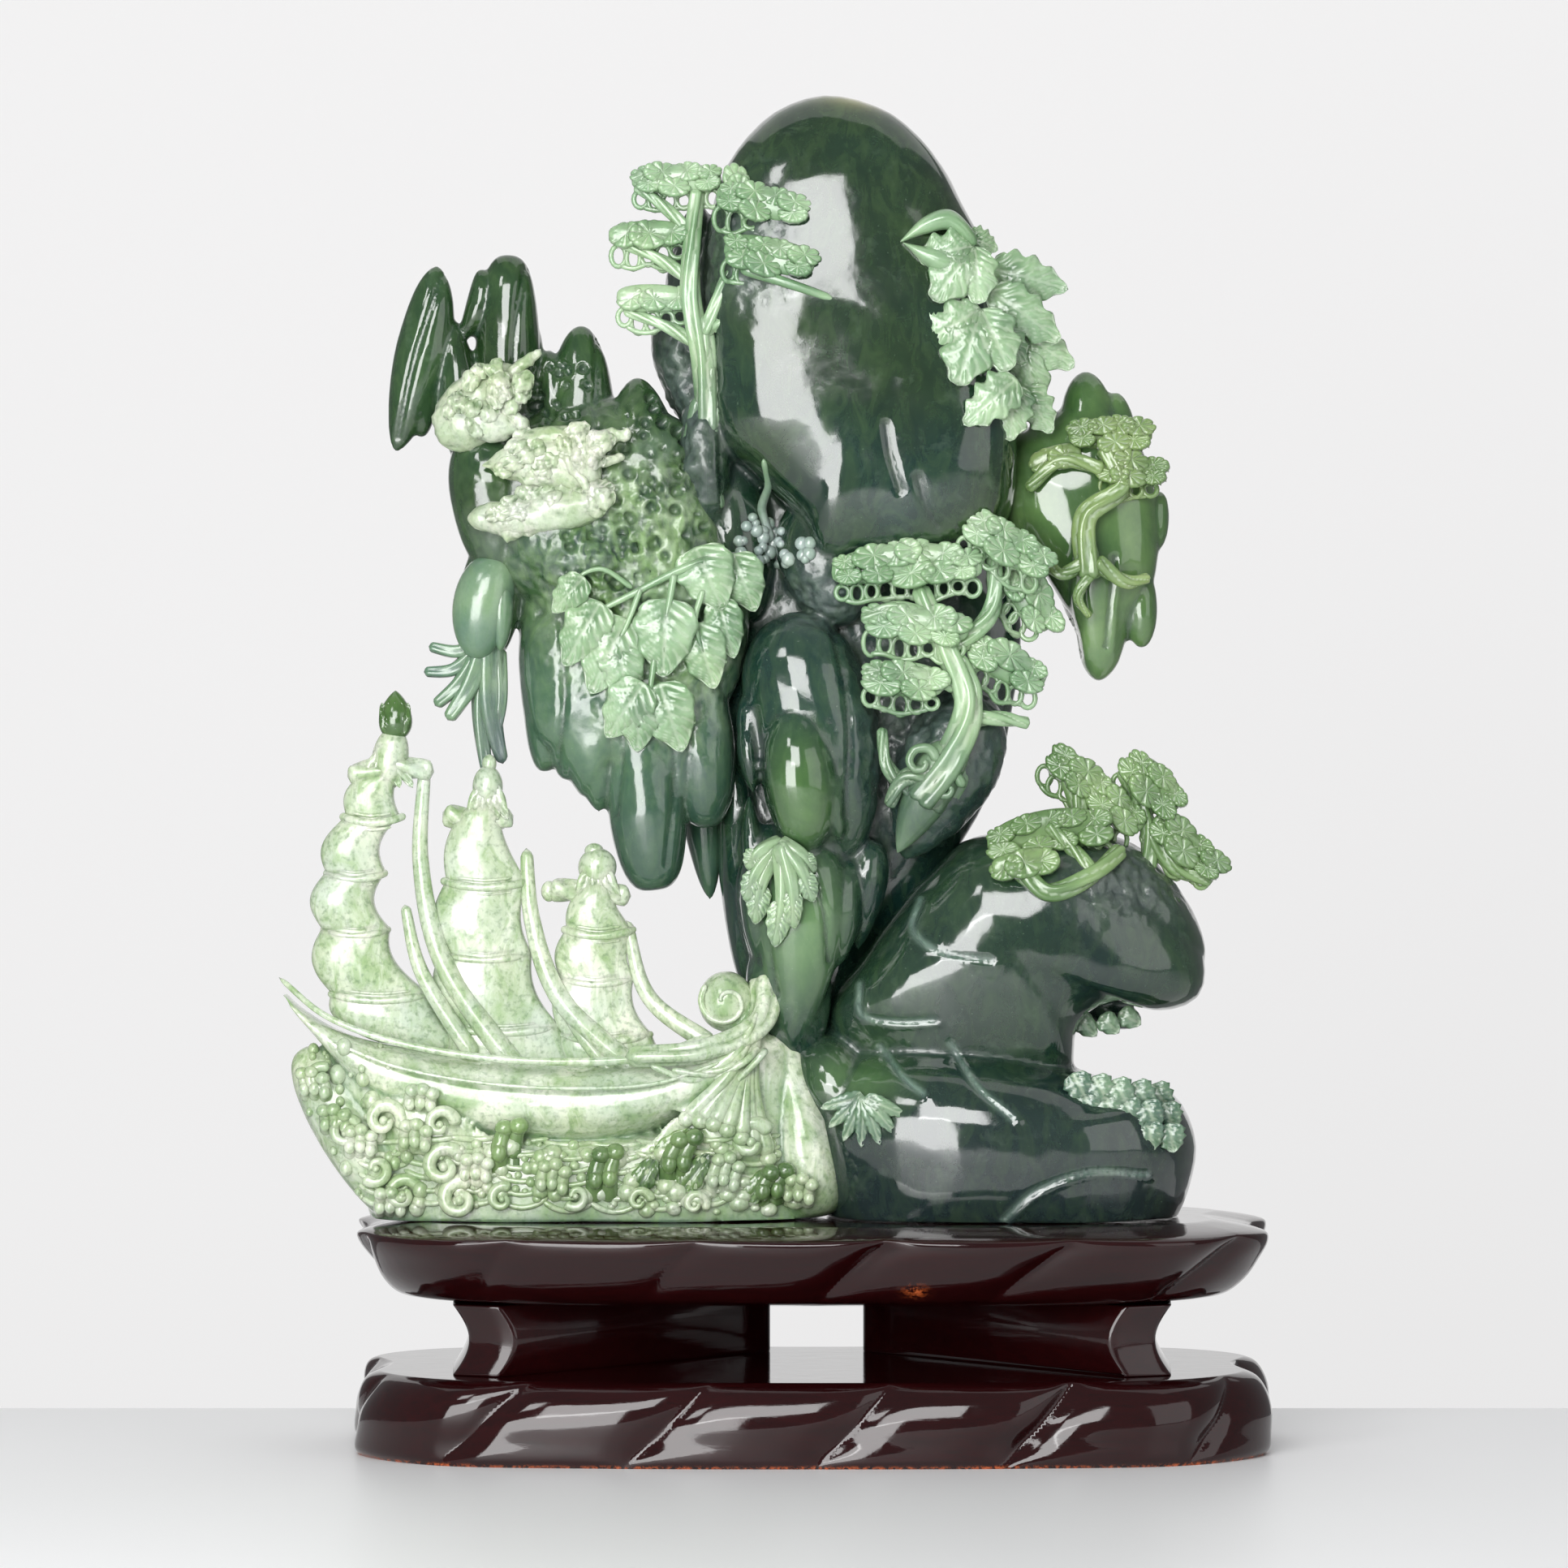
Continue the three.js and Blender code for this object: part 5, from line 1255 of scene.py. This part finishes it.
def curl(across, up, size, hand, wound, start):
    """A breaking wave: a tapering coil with a bead in its eye."""
    base = np.array(laid(across, up, 0.6, 12))
    line = []
    for k in range(12):
        t = k / 11
        r = size * (1 - 0.78 * t)
        a = start + hand * wound * TAU * t
        line.append(base + np.array([r * math.cos(a) * hand, r * math.sin(a), 0.5 * size * t]))
    return [limb(line, 0.42 * size, 0.2 * size, 12, 54),
            ovoid(base + OUT * 0.5 * size, 0.24 * size, 0.24 * size, 0.3 * size, around=10, rings=8)]


def crest(across, up, tall, lean, fat, fingers=3):
    """A stand of foam fingers, each bent over and ending in a bead."""
    lift = 0.3
    forms = []
    for k in range(fingers):
        a = across + (k - (fingers - 1) / 2) * 1.35 * fat
        high = tall * (1 - 0.13 * abs(k - 1) - 0.08 * k)
        heel = np.array(laid(a, up, lift - 1.2, 11))
        knee = np.array(laid(a + 0.3 * lean, up + 0.6 * high, lift + 0.5, 11))
        tip = np.array(laid(a + lean * high * 0.4, up + high, lift + 1.0, 11))
        forms.append(limb([heel, knee, tip], fat, 0.66 * fat, 14, 22))
        forms.append(ovoid(tip + (0.2 * lean, 0.1, 0.2), 0.95 * fat, 0.85 * fat, 1.0 * fat, around=14, rings=9))
        forms.append(ovoid(knee + (0, -0.6, 0.5), 0.75 * fat, 0.95 * fat, 0.7 * fat, around=12, rings=8))
    return forms


def crests():
    forms = []
    for across, up, tall, lean, fingers in [
        (-37.6, 6.0, 6.4, 0.3, 2), (-25.8, 2.6, 6.6, 0.3, 2), (-16.8, 4.6, 6.4, 0.6, 2), (-5.4, 2.2, 4.4, 0.7, 2),
    ]:
        forms += crest(across, up, tall, lean, fingers=fingers, fat=1.3)
    for heel, tip in (((-19, 8, 12), (-14.6, 11.6, 12)), ((-16, 4, 12), (-12.6, 8.6, 12)),
                      ((-8, 2.6, 12), (-4.6, 7, 12)), ((-21.6, 4, 12), (-19, 8.4, 12))):
        forms.append(laid_leaf(heel, tip, 1.5, 0.6, teeth=3, rows=14, across=11))
    return forms


def foam():
    forms = []
    chance = scatter(900, 77).reshape(-1, 3)
    for n, (across, up, size, hand) in enumerate([
        (-52.6, 12.6, 2.4, 1), (-45.6, 12.2, 2.0, 1), (-45.2, 7, 2.5, 1), (-43.2, 2.9, 2.5, 1), (-53.6, 6.6, 1.9, -1),
        (-50.4, 3.4, 2.2, 1), (-57.4, 11, 1.9, 1), (-38, 3, 1.7, 1), (-29, 3.4, 1.6, -1), (-21.2, 2.8, 1.5, 1),
        (-7.5, 10, 2.6, 1), (-60.6, 17.4, 1.8, 1), (-14.4, 2.4, 1.5, 1),
    ]):
        forms += curl(across, up, size, hand, start=-0.6 + 0.5 * (n % 4), wound=0.9 + 0.3 * chance[n, 0])
    for across, up, tall, lean in [
        (-48.8, 8.6, 3.8, 0.2), (-55.6, 8, 3.6, 0.1), (-61.2, 15, 3.6, -0.3), (-58.6, 11, 3.0, -0.2),
        (-48.2, 14, 2.6, 0.4),
        (-41.4, 5, 3.2, 0.3), (-52, 0.8, 3.0, 0.2), (-32, 3.0, 4.6, 0.3), (-11, 3.0, 5.4, 0.4), (-1.8, 2.0, 3.6, 0.4),
    ]:
        forms += crest(across, up, tall, lean, fat=0.95)
    for n in range(9):
        x0, x1 = -56 + 5.7 * n, -49.4 + 5.7 * n
        for k in range(6):
            sag = 0.7 + 0.4 * k
            row = [laid(x0 + (x1 - x0) * t, 10.2 - 1.4 * k - sag * 2 * t * (1 - t) + 0.5 * math.sin(n), 0.16, 12)
                   for t in (0, 0.25, 0.5, 0.75, 1)]
            forms.append(limb(row, 0.4, 0.36, 8, 20))
    for n in range(7):
        t = n / 6
        tip = laid(-15.4 + 10 * t, 12.8 - 5.0 * t + 1.2 * math.sin(math.pi * t), 0.6, 12)
        forms.append(limb([laid(-6.3, 26, 0.3, 6), laid(-9.8 + 2.6 * t, 18.8 - 1.8 * t, 0.6, 10), tip], 0.45, 1.15,
                          14, 34))
        forms.append(ovoid(np.array(tip), 1.1, 1.0, 1.0, around=12, rings=8))
    for a, b, c in chance[20:250]:
        across = -63 + 61 * a
        up = 1.2 + 8.6 * b + (12 * b if across < -52 else 0)
        level = surface(across, up)
        if level is not None and level > 3:
            size = 0.4 + 0.95 * c**2
            forms.append(ovoid((across, up, level + 0.1), size * (0.8 + 0.5 * a), size, 0.8 * size + 0.2, around=10,
                               rings=7))
    return forms


def detail(name, forms, colour, crease_tint_and_shade, matt=0.25, moss=0.2, shade=0.5, deep=(), rough=0.0):
    places, faces = joined(forms)
    made = mesh_object(name, world(places), faces)
    q = squares(points_of(made))
    if rough:
        lift = rough * (wobble(q, 1.6, 41) + 0.6 * wobble(q, 0.7, 42)) * MM
        put_points(made, points_of(made) + normals_of(made) * lift[:, None])
    dips = np.clip(hollows(made, 3) * 8 - 0.1, 0, 1)
    tone = mix(colour[0], colour[1], 0.5 + 1.1 * wobble(q, 6, 12))
    for place, reach, other in deep:
        tone = mix(tone, other, near(q, place, reach))
    # Creases take the crease colour given: on the leaves and pines a whitish groove colour (FROST), the stone's own;
    # on the other pieces a darker tone, which is painted shade.
    tone = mix(tone, crease_tint_and_shade, shade * dips)
    seated(made)
    paint(made, tone, np.clip(matt + 0.35 * dips, 0, 1), moss)
    return made


FRESH = (linear(116, 150, 112), linear(162, 190, 154))
WARM = (linear(100, 128, 78), linear(140, 162, 104))
FROST = linear(192, 208, 184)
CHALK = (linear(190, 202, 178), linear(214, 222, 206))
SHADED = linear(66, 90, 76)
HEART = linear(84, 118, 84)
PINE = (FROST, 0.25, 0.15, 0.6)
# The colour after each piece's own colours goes into its creases: FROST is a whitish groove colour, and the darker
# ones are painted shade.
details = [
    detail("jade_vine_leaves", vine_leaves(), FRESH, FROST, moss=0.15, deep=hearts(VINES)),
    detail("jade_leaf_spray", spray_leaves(), FRESH, FROST, moss=0.15, deep=hearts(SPRAY + FANS)),
    detail("jade_pine_upper", upper_pine(), FRESH, *PINE, [((-12.6, 94, 6), (5, 10, 6), SHADED)]),
    detail("jade_pine_right", right_pine(), WARM, *PINE),
    detail("jade_pine_middle", middle_pine(), FRESH, *PINE, [((13, 50, 8), (7, 9, 6), SHADED)]),
    detail("jade_pine_boulder", boulder_pine(), (linear(92, 124, 76), linear(132, 160, 108)), *PINE),
    detail("jade_birds", birds(), (linear(168, 182, 150), linear(212, 218, 202)), linear(84, 108, 74), 0.45, 0.6,
           0.7, (), 1.5),
    detail("jade_flowers", flowers(), (linear(84, 116, 98), linear(138, 164, 132)), linear(66, 90, 86), 0.2, 0.2, 0.5,
           [((-4, 40, 10), (8, 10, 8), linear(160, 186, 150)), ((-5, 84, 7), (8, 5, 8), linear(168, 180, 182)),
            ((-39, 58, 4), (3, 8, 4), linear(80, 96, 98))]),
    detail("jade_boulder_leaves", boulder_leaves(), (linear(78, 108, 92), linear(124, 152, 126)), FROST),
    detail("jade_sails", sails() + hull(), CHALK, linear(112, 136, 94), 0.25, 0.85, 0.75),
    detail("jade_finial", finial(), (linear(54, 86, 42), linear(90, 124, 66)), linear(40, 64, 34), 0.1, 0.2),
    detail("jade_foam", foam(), (linear(166, 184, 148), linear(212, 220, 202)), linear(98, 122, 90), 0.25, 0.7, 0.75),
    detail("jade_crests", crests(), (linear(72, 100, 60), linear(136, 162, 110)), linear(52, 78, 52), 0.1, 0.4, 0.7),
]


# The stand: boards with slanting folds, and the two halves of its waist


FOLDS = 13
FOLD_DEPTH = 5
FOLD_LEAN = 2.8
STEPS_PER_FOLD = 54


def board_plan(length, depth, count):
    plan = [
        (0, -1), (0.45, -0.97), (0.8, -0.84), (0.97, -0.42), (0.96, 0.08), (1, 0.5), (0.86, 0.86), (0.4, 0.98),
        (0, 0.94), (-0.4, 0.98), (-0.86, 0.86), (-1, 0.5), (-0.96, 0.08), (-0.97, -0.42), (-0.8, -0.84),
        (-0.45, -0.97),
    ]
    corners = [(x * length / 2, y * depth / 2, 0) for x, y in plan]
    return smooth_line(corners, count, closed=True, even=True)


def narrowed(ring, share):
    return ring * np.array([share, share, 1])


def board(name, node, rows):
    """A board whose rim is carved in folds that climb to the right; rows are (inset, height, share)."""
    box = np.array(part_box(node)) / MM
    length, depth = box[1][0] - box[0][0], box[1][1] - box[0][1]
    low, high = rows[0][1], rows[-1][1]
    count = STEPS_PER_FOLD * FOLDS
    plan = board_plan(length + 0.6, depth + 0.6, count)
    fine = smooth_line(rows, 40)
    fine[:, 1] = np.clip(fine[:, 1], low, high)
    step = np.arange(count)
    strong = 0.55 + 0.8 * scatter(FOLDS + 1, len(rows))
    rings = []
    for inset, z, share in fine:
        lean = FOLD_LEAN * (z - low) / (high - low)
        wave = np.abs(np.sin(math.pi * FOLDS * step / count - lean / 2))
        ripple = 0.5 + 0.5 * np.sin(TAU * FOLDS * step / count - lean + 1.1)
        turn = (FOLDS * step / count - lean / TAU + 0.5) % FOLDS
        fold = np.minimum(turn.astype(int), FOLDS - 1)
        cut = inset + share * (FOLD_DEPTH * strong[fold] * (1 - wave) ** 2.6 + 0.9 * ripple)
        ring = plan.copy()
        ring[:, 0] *= 1 - 2 * cut / length
        ring[:, 1] *= 1 - 2 * cut / depth
        ring[:, 2] = z
        rings.append(ring)
    below, above = narrowed(rings[0], 0.3), narrowed(rings[-1], 0.3)
    points, faces = shell(np.stack([narrowed(below, 0.01), below, *rings, above, narrowed(above, 0.01)]))
    made = mesh_object(name, points * MM, faces)
    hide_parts(node)
    return made


def waist(name, node, hand):
    """One half of the waist, its outer end hollow; the left half is mirrored and reaches nearer the middle."""
    inner, outer, front, back, wall = 20.5 + hand * 2.5, 152.0, 58.44, 76.0, 22.0
    plan = [
        (inner, 54), (outer - 19.8, -front), (outer, 8 - front), (outer + 3, 0),
        (outer - 2, 64), (outer - wall, back), (inner, back),
    ]
    low, high = (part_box(node)[k][2] / MM for k in (0, 1))
    rings = []
    for level in np.linspace(0, 1, 17):
        dip = 7 * math.sin(math.pi * level)
        ring = [(x - (dip if x > outer - 20 else 0), y) for x, y in plan]
        soft = []
        for k in range(len(ring)):
            a, b, c = (np.array(ring[(k + n) % len(ring)]) for n in (-1, 0, 1))
            soft += [b + unit(a - b) * 1.6, b + unit(a - b) * 0.5 + unit(c - b) * 0.5, b + unit(c - b) * 1.6]
        rings.append([(hand * x, y, low + (high - low) * level) for x, y in soft])
    rings = np.array(rings)
    middle = rings.mean(axis=(0, 1)) * np.array([1, 1, 0])
    below, above = (middle + narrowed(ring - middle, 0.01) for ring in (rings[0], rings[-1]))
    points, faces = shell(np.stack([below, *rings, above]))
    made = mesh_object(name, points * MM, faces)
    bevel = made.modifiers.new("edge", "BEVEL")
    bevel.width = 0.8 * MM
    bevel.segments = 2
    bevel.limit_method = "ANGLE"
    applied(made)
    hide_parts(node)
    return made


base_rows = [(2.5, 0, 0), (0.4, 3, 0.5), (0, 10.5, 1), (0, 19.25, 1), (2.2, 27.3, 1), (6, 32.55, 0.7), (12, 35, 0),
             (14, 35, 0)]
top_rows = [(34, 65, 0), (18.7, 68, 0.5), (10.2, 74.6, 1), (4.4, 83, 1), (0.5, 90.2, 0.9), (0.5, 93.5, 0.4),
            (2.5, 95, 0), (24, 99, 0), (26, 99, 0)]
stand = [
    board("lacquer_base", "stand_base", base_rows),
    board("lacquer_top", "stand_top", top_rows),
    waist("lacquer_waist_left", "stand_waist_left", -1),
    waist("lacquer_waist_right", "stand_waist_right", 1),
]
for piece, node in zip(stand, ("stand_base", "stand_top", "stand_waist_left", "stand_waist_right")):
    put_points(piece, np.clip(points_of(piece), *np.array(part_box(node))))
    points = points_of(piece) / MM
    chip = np.exp(-(((points[:, 0] - 43) / 4) ** 2) - ((points[:, 2] - 73) / 2.4) ** 2) * (points[:, 1] < 0)
    bare = np.clip((1.6 - points[:, 2]) / 1.2, 0, 1) * 0.8
    put_layer(piece, "wear", np.clip(chip + bare, 0, 1))


# Materials


class Shader:
    """A short way to write a node tree: add(kind, socket=value or another node's output)."""

    def __init__(self, name):
        self.material = bpy.data.materials.new(name)
        self.material.use_nodes = True
        self.tree = self.material.node_tree
        self.tree.nodes.clear()

    def plug(self, value, socket):
        """Links another node's output to a socket, or sets the socket's own value."""
        if isinstance(value, bpy.types.NodeSocket):
            self.tree.links.new(value, socket)
        else:
            socket.default_value = value

    def add(self, kind, _out=0, _set=None, **sockets):
        node = self.tree.nodes.new("ShaderNode" + kind)
        for key, value in (_set or {}).items():
            setattr(node, key, value)
        for key, value in sockets.items():
            numbered = key[0] == "i" and key[1:].isdigit()
            self.plug(value, node.inputs[int(key[1:]) if numbered else key.replace("_", " ")])
        return node.outputs[_out]

    def attribute(self, name, colour=False):
        return self.add("Attribute", _out=0 if colour else 2, _set={"attribute_name": name})

    def maths(self, operation, a, b):
        return self.add("Math", _set={"operation": operation}, i0=a, i1=b)

    def times(self, a, b):
        return self.maths("MULTIPLY", a, b)

    def blend(self, share, a, b, kind="MIX"):
        node = self.tree.nodes.new("ShaderNodeMix")
        node.data_type = "RGBA"
        node.blend_type = kind
        for n, value in ((0, share), (6, a), (7, b)):
            self.plug(value, node.inputs[n])
        return node.outputs[2]

    def tinted(self, colour, by):
        return self.blend(1.0, colour, rgba(by), "MULTIPLY")

    def spread(self, value, low, high, to_low=0.0, to_high=1.0):
        return self.add("MapRange", i0=value, i1=low, i2=high, i3=to_low, i4=to_high)

    def noise(self, size, detail=4.0, rough=0.55, distort=0.0, squash=(1, 1, 1)):
        """Noise whose lumps are about `size` millimetres across."""
        where = self.add("TexCoord", _out=3)
        where = self.add("Mapping", Vector=where, Scale=tuple(s / (size * MM) for s in squash))
        return self.add("TexNoise", Vector=where, Scale=1.0, Detail=detail, Roughness=rough, Distortion=distort)

    def finish(self, **sockets):
        surface = self.add("BsdfPrincipled", **sockets)
        end = self.tree.nodes.new("ShaderNodeOutputMaterial")
        self.tree.links.new(surface, end.inputs["Surface"])
        return self.material


def rgba(colour):
    return (*[float(c) for c in colour], 1.0)


def seen(red, green, blue):
    return rgba(linear(red, green, blue))


def jade_material(name, glow, contrast):
    s = Shader(name)
    tint = s.attribute("tint", colour=True)
    matt = s.attribute("matt")
    moss = s.attribute("moss")
    cloud = s.spread(s.noise(34, 5, 0.6, 0.6), 0.34, 0.68)
    streak = s.spread(s.noise(9, 6, 0.62, 1.4, (1, 1, 0.45)), 0.42, 0.66)
    fleck = s.spread(s.noise(2.2, 3, 0.5), 0.5, 0.72)
    dark = s.tinted(tint, 1 - contrast * np.array([1.1, 0.8, 0.95]))
    light = s.tinted(tint, 1 + contrast * np.array([0.9, 0.7, 0.3]))
    base = s.blend(cloud, dark, light)
    mossy = s.times(moss, s.times(streak, s.spread(cloud, 0.0, 1.0, 0.6, 1.0)))
    base = s.blend(mossy, base, seen(124, 160, 92))
    speck = s.times(fleck, s.times(moss, 0.55))
    base = s.blend(speck, base, seen(58, 98, 52))
    cloudy = s.spread(s.noise(12, 6, 0.7, 0.4), 0.55, 0.8)
    base = s.blend(s.times(cloudy, 0.12), base, seen(150, 176, 150))
    glint = s.spread(s.noise(1.4, 2, 0.5), 0.72, 0.78)
    base = s.blend(s.times(glint, 0.25), base, seen(140, 165, 140))
    chisel = s.noise(1.6, 4, 0.65)
    chalk = s.blend(chisel, s.tinted(base, (0.6, 0.66, 0.68)), s.tinted(base, (1.5, 1.45, 1.5)))
    base = s.blend(s.times(matt, 0.7), base, chalk)
    rough = s.spread(matt, 0.0, 1.0, 0.07, 0.5)
    rough = s.maths("ADD", rough, s.times(s.noise(5, 3), 0.05))
    strength = s.maths("ADD", s.times(matt, 0.55), 0.02)
    bump = s.add("Bump", Strength=strength, Distance=0.0006, Height=chisel)
    wave = s.add("Bump", Strength=0.12, Distance=0.0012, Height=s.noise(14, 2), Normal=bump)
    return s.finish(
        Base_Color=base,
        Roughness=rough,
        Normal=wave,
        Subsurface_Weight=glow,
        Subsurface_Radius=(0.7, 1.0, 0.7),
        Subsurface_Scale=0.004,
        IOR=1.6,
        Specular_IOR_Level=0.55,
        Coat_Weight=0.5,
        Coat_Roughness=0.02,
    )


def lacquer_material():
    s = Shader("lacquered_wood")
    grain = s.noise(5, 6, 0.6, 0.8, (0.12, 1, 1))
    pores = s.spread(s.noise(1.1, 3, 0.6, 0.2, (0.06, 1, 1)), 0.56, 0.7)
    cloud = s.spread(s.noise(60, 3), 0.35, 0.7)
    base = s.blend(grain, seen(14, 5, 6), seen(48, 8, 10))
    base = s.blend(s.times(cloud, 0.6), base, seen(34, 7, 8))
    base = s.blend(s.times(pores, 0.6), base, seen(16, 6, 6))
    wear = s.attribute("wear")
    chips = s.times(wear, s.spread(s.noise(2.5, 4, 0.7), 0.45, 0.6))
    base = s.blend(chips, base, seen(196, 96, 48))
    rough = s.maths("ADD", s.spread(s.noise(8, 3), 0.3, 0.7, 0.03, 0.1), s.times(chips, 0.4))
    bump = s.add("Bump", Strength=0.16, Distance=0.0004, Height=grain)
    dents = s.add("Bump", Strength=0.1, Distance=0.001, Height=s.noise(12, 3), Normal=bump)
    return s.finish(
        Base_Color=base,
        Roughness=rough,
        Normal=dents,
        Coat_Weight=0.45,
        Coat_Roughness=0.03,
        Specular_IOR_Level=0.3,
        IOR=1.5,
    )


JADE = jade_material("jade", 0.08, 0.3)
PALE_JADE = jade_material("jade_pale", 0.28, 0.16)
LACQUER = lacquer_material()


def finish_stone(pieces, material):
    for piece in pieces:
        piece.data.materials.clear()
        piece.data.materials.append(material)
        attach(piece, "root")
        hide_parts("jade_mountain")


finish_stone([peak, cliff, right], JADE)
finish_stone([sea, *details], PALE_JADE)
for piece in stand:
    piece.data.materials.clear()
    piece.data.materials.append(LACQUER)
    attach(piece, "root")


# Camera, table and light

CAMERA_AWAY = 2.5
CAMERA_ACROSS = -0.0119
CAMERA_HIGH = 0.285
VIEW_WIDE = 0.6762

lens = bpy.data.cameras.new("camera")
lens.sensor_width = 36
lens.lens = 36 * CAMERA_AWAY / VIEW_WIDE
camera = bpy.data.objects.new("camera", lens)
camera.location = (CAMERA_ACROSS, -CAMERA_AWAY, CAMERA_HIGH)
camera.rotation_euler = (math.pi / 2, 0, 0)
bpy.context.scene.collection.objects.link(camera)
bpy.context.scene.camera = camera


def plain(name, colour, roughness, glow=0.0, share=1.0):
    s = Shader(name)
    tone = np.array(colour) * share
    shade = s.blend(s.spread(s.noise(400, 2), 0.3, 0.7), rgba(tone * 0.985), rgba(tone))
    return s.finish(Base_Color=shade, Roughness=roughness, IOR=1.45, Emission_Color=rgba(colour),
                    Emission_Strength=glow)


def plane(name, corners, material):
    made = mesh_object(name, np.array(corners, float), np.array([(0, 1, 2), (0, 2, 3)]))
    made.data.materials.append(material)
    return made


TABLE_SIDE, TABLE_FRONT, TABLE_BACK = 3, -2.2, 0.147
WALL_SIDE, WALL_AWAY, WALL_LOW, WALL_HIGH = 1, 1.6, -0.6, 1.7
plane("table", [(-TABLE_SIDE, TABLE_FRONT, 0), (TABLE_SIDE, TABLE_FRONT, 0),
                (TABLE_SIDE, TABLE_BACK, 0), (-TABLE_SIDE, TABLE_BACK, 0)],
      plain("table_white", (0.9, 0.9, 0.905), 0.4))
plane("backdrop", [(-WALL_SIDE, WALL_AWAY, WALL_LOW), (WALL_SIDE, WALL_AWAY, WALL_LOW),
                   (WALL_SIDE, WALL_AWAY, WALL_HIGH), (-WALL_SIDE, WALL_AWAY, WALL_HIGH)],
      plain("backdrop_grey", (0.8, 0.795, 0.795), 0.8, 0.88, 0.3))


def softbox(name, place, aim_high, wide, high, power):
    """A soft panel turned to a place above the middle of the table, sizes in metres, power in watts."""
    lamp = bpy.data.lights.new(name, "AREA")
    lamp.shape = "RECTANGLE"
    lamp.size = wide
    lamp.size_y = high
    lamp.energy = power
    made = bpy.data.objects.new(name, lamp)
    made.location = place
    made.rotation_euler = (Vector((0, 0, aim_high)) - Vector(place)).to_track_quat("-Z", "Y").to_euler()
    bpy.context.scene.collection.objects.link(made)


softbox("key_high", (-0.97, -1.49, 1.62), 0.36, 0.36, 0.4, 3.6)
softbox("key", (-0.24, -1.79, 1.08), 0.36, 0.95, 0.74, 18)
softbox("key_low", (-0.66, -1.66, 0.38), 0.36, 1.0, 0.76, 19)
softbox("fill", (1.7, -1.5, 0.8), 0.3, 1.5, 1.5, 8)
softbox("top", (0.1, 0.5, 1.9), 0.2, 2.6, 2.0, 10)

sky = bpy.data.worlds.new("studio")
bpy.context.scene.world = sky
sky.use_nodes = True
background = sky.node_tree.nodes["Background"].inputs
background["Color"].default_value = (0.9, 0.92, 0.94, 1)
background["Strength"].default_value = 0.24

bpy.context.scene.view_settings.view_transform = "Standard"
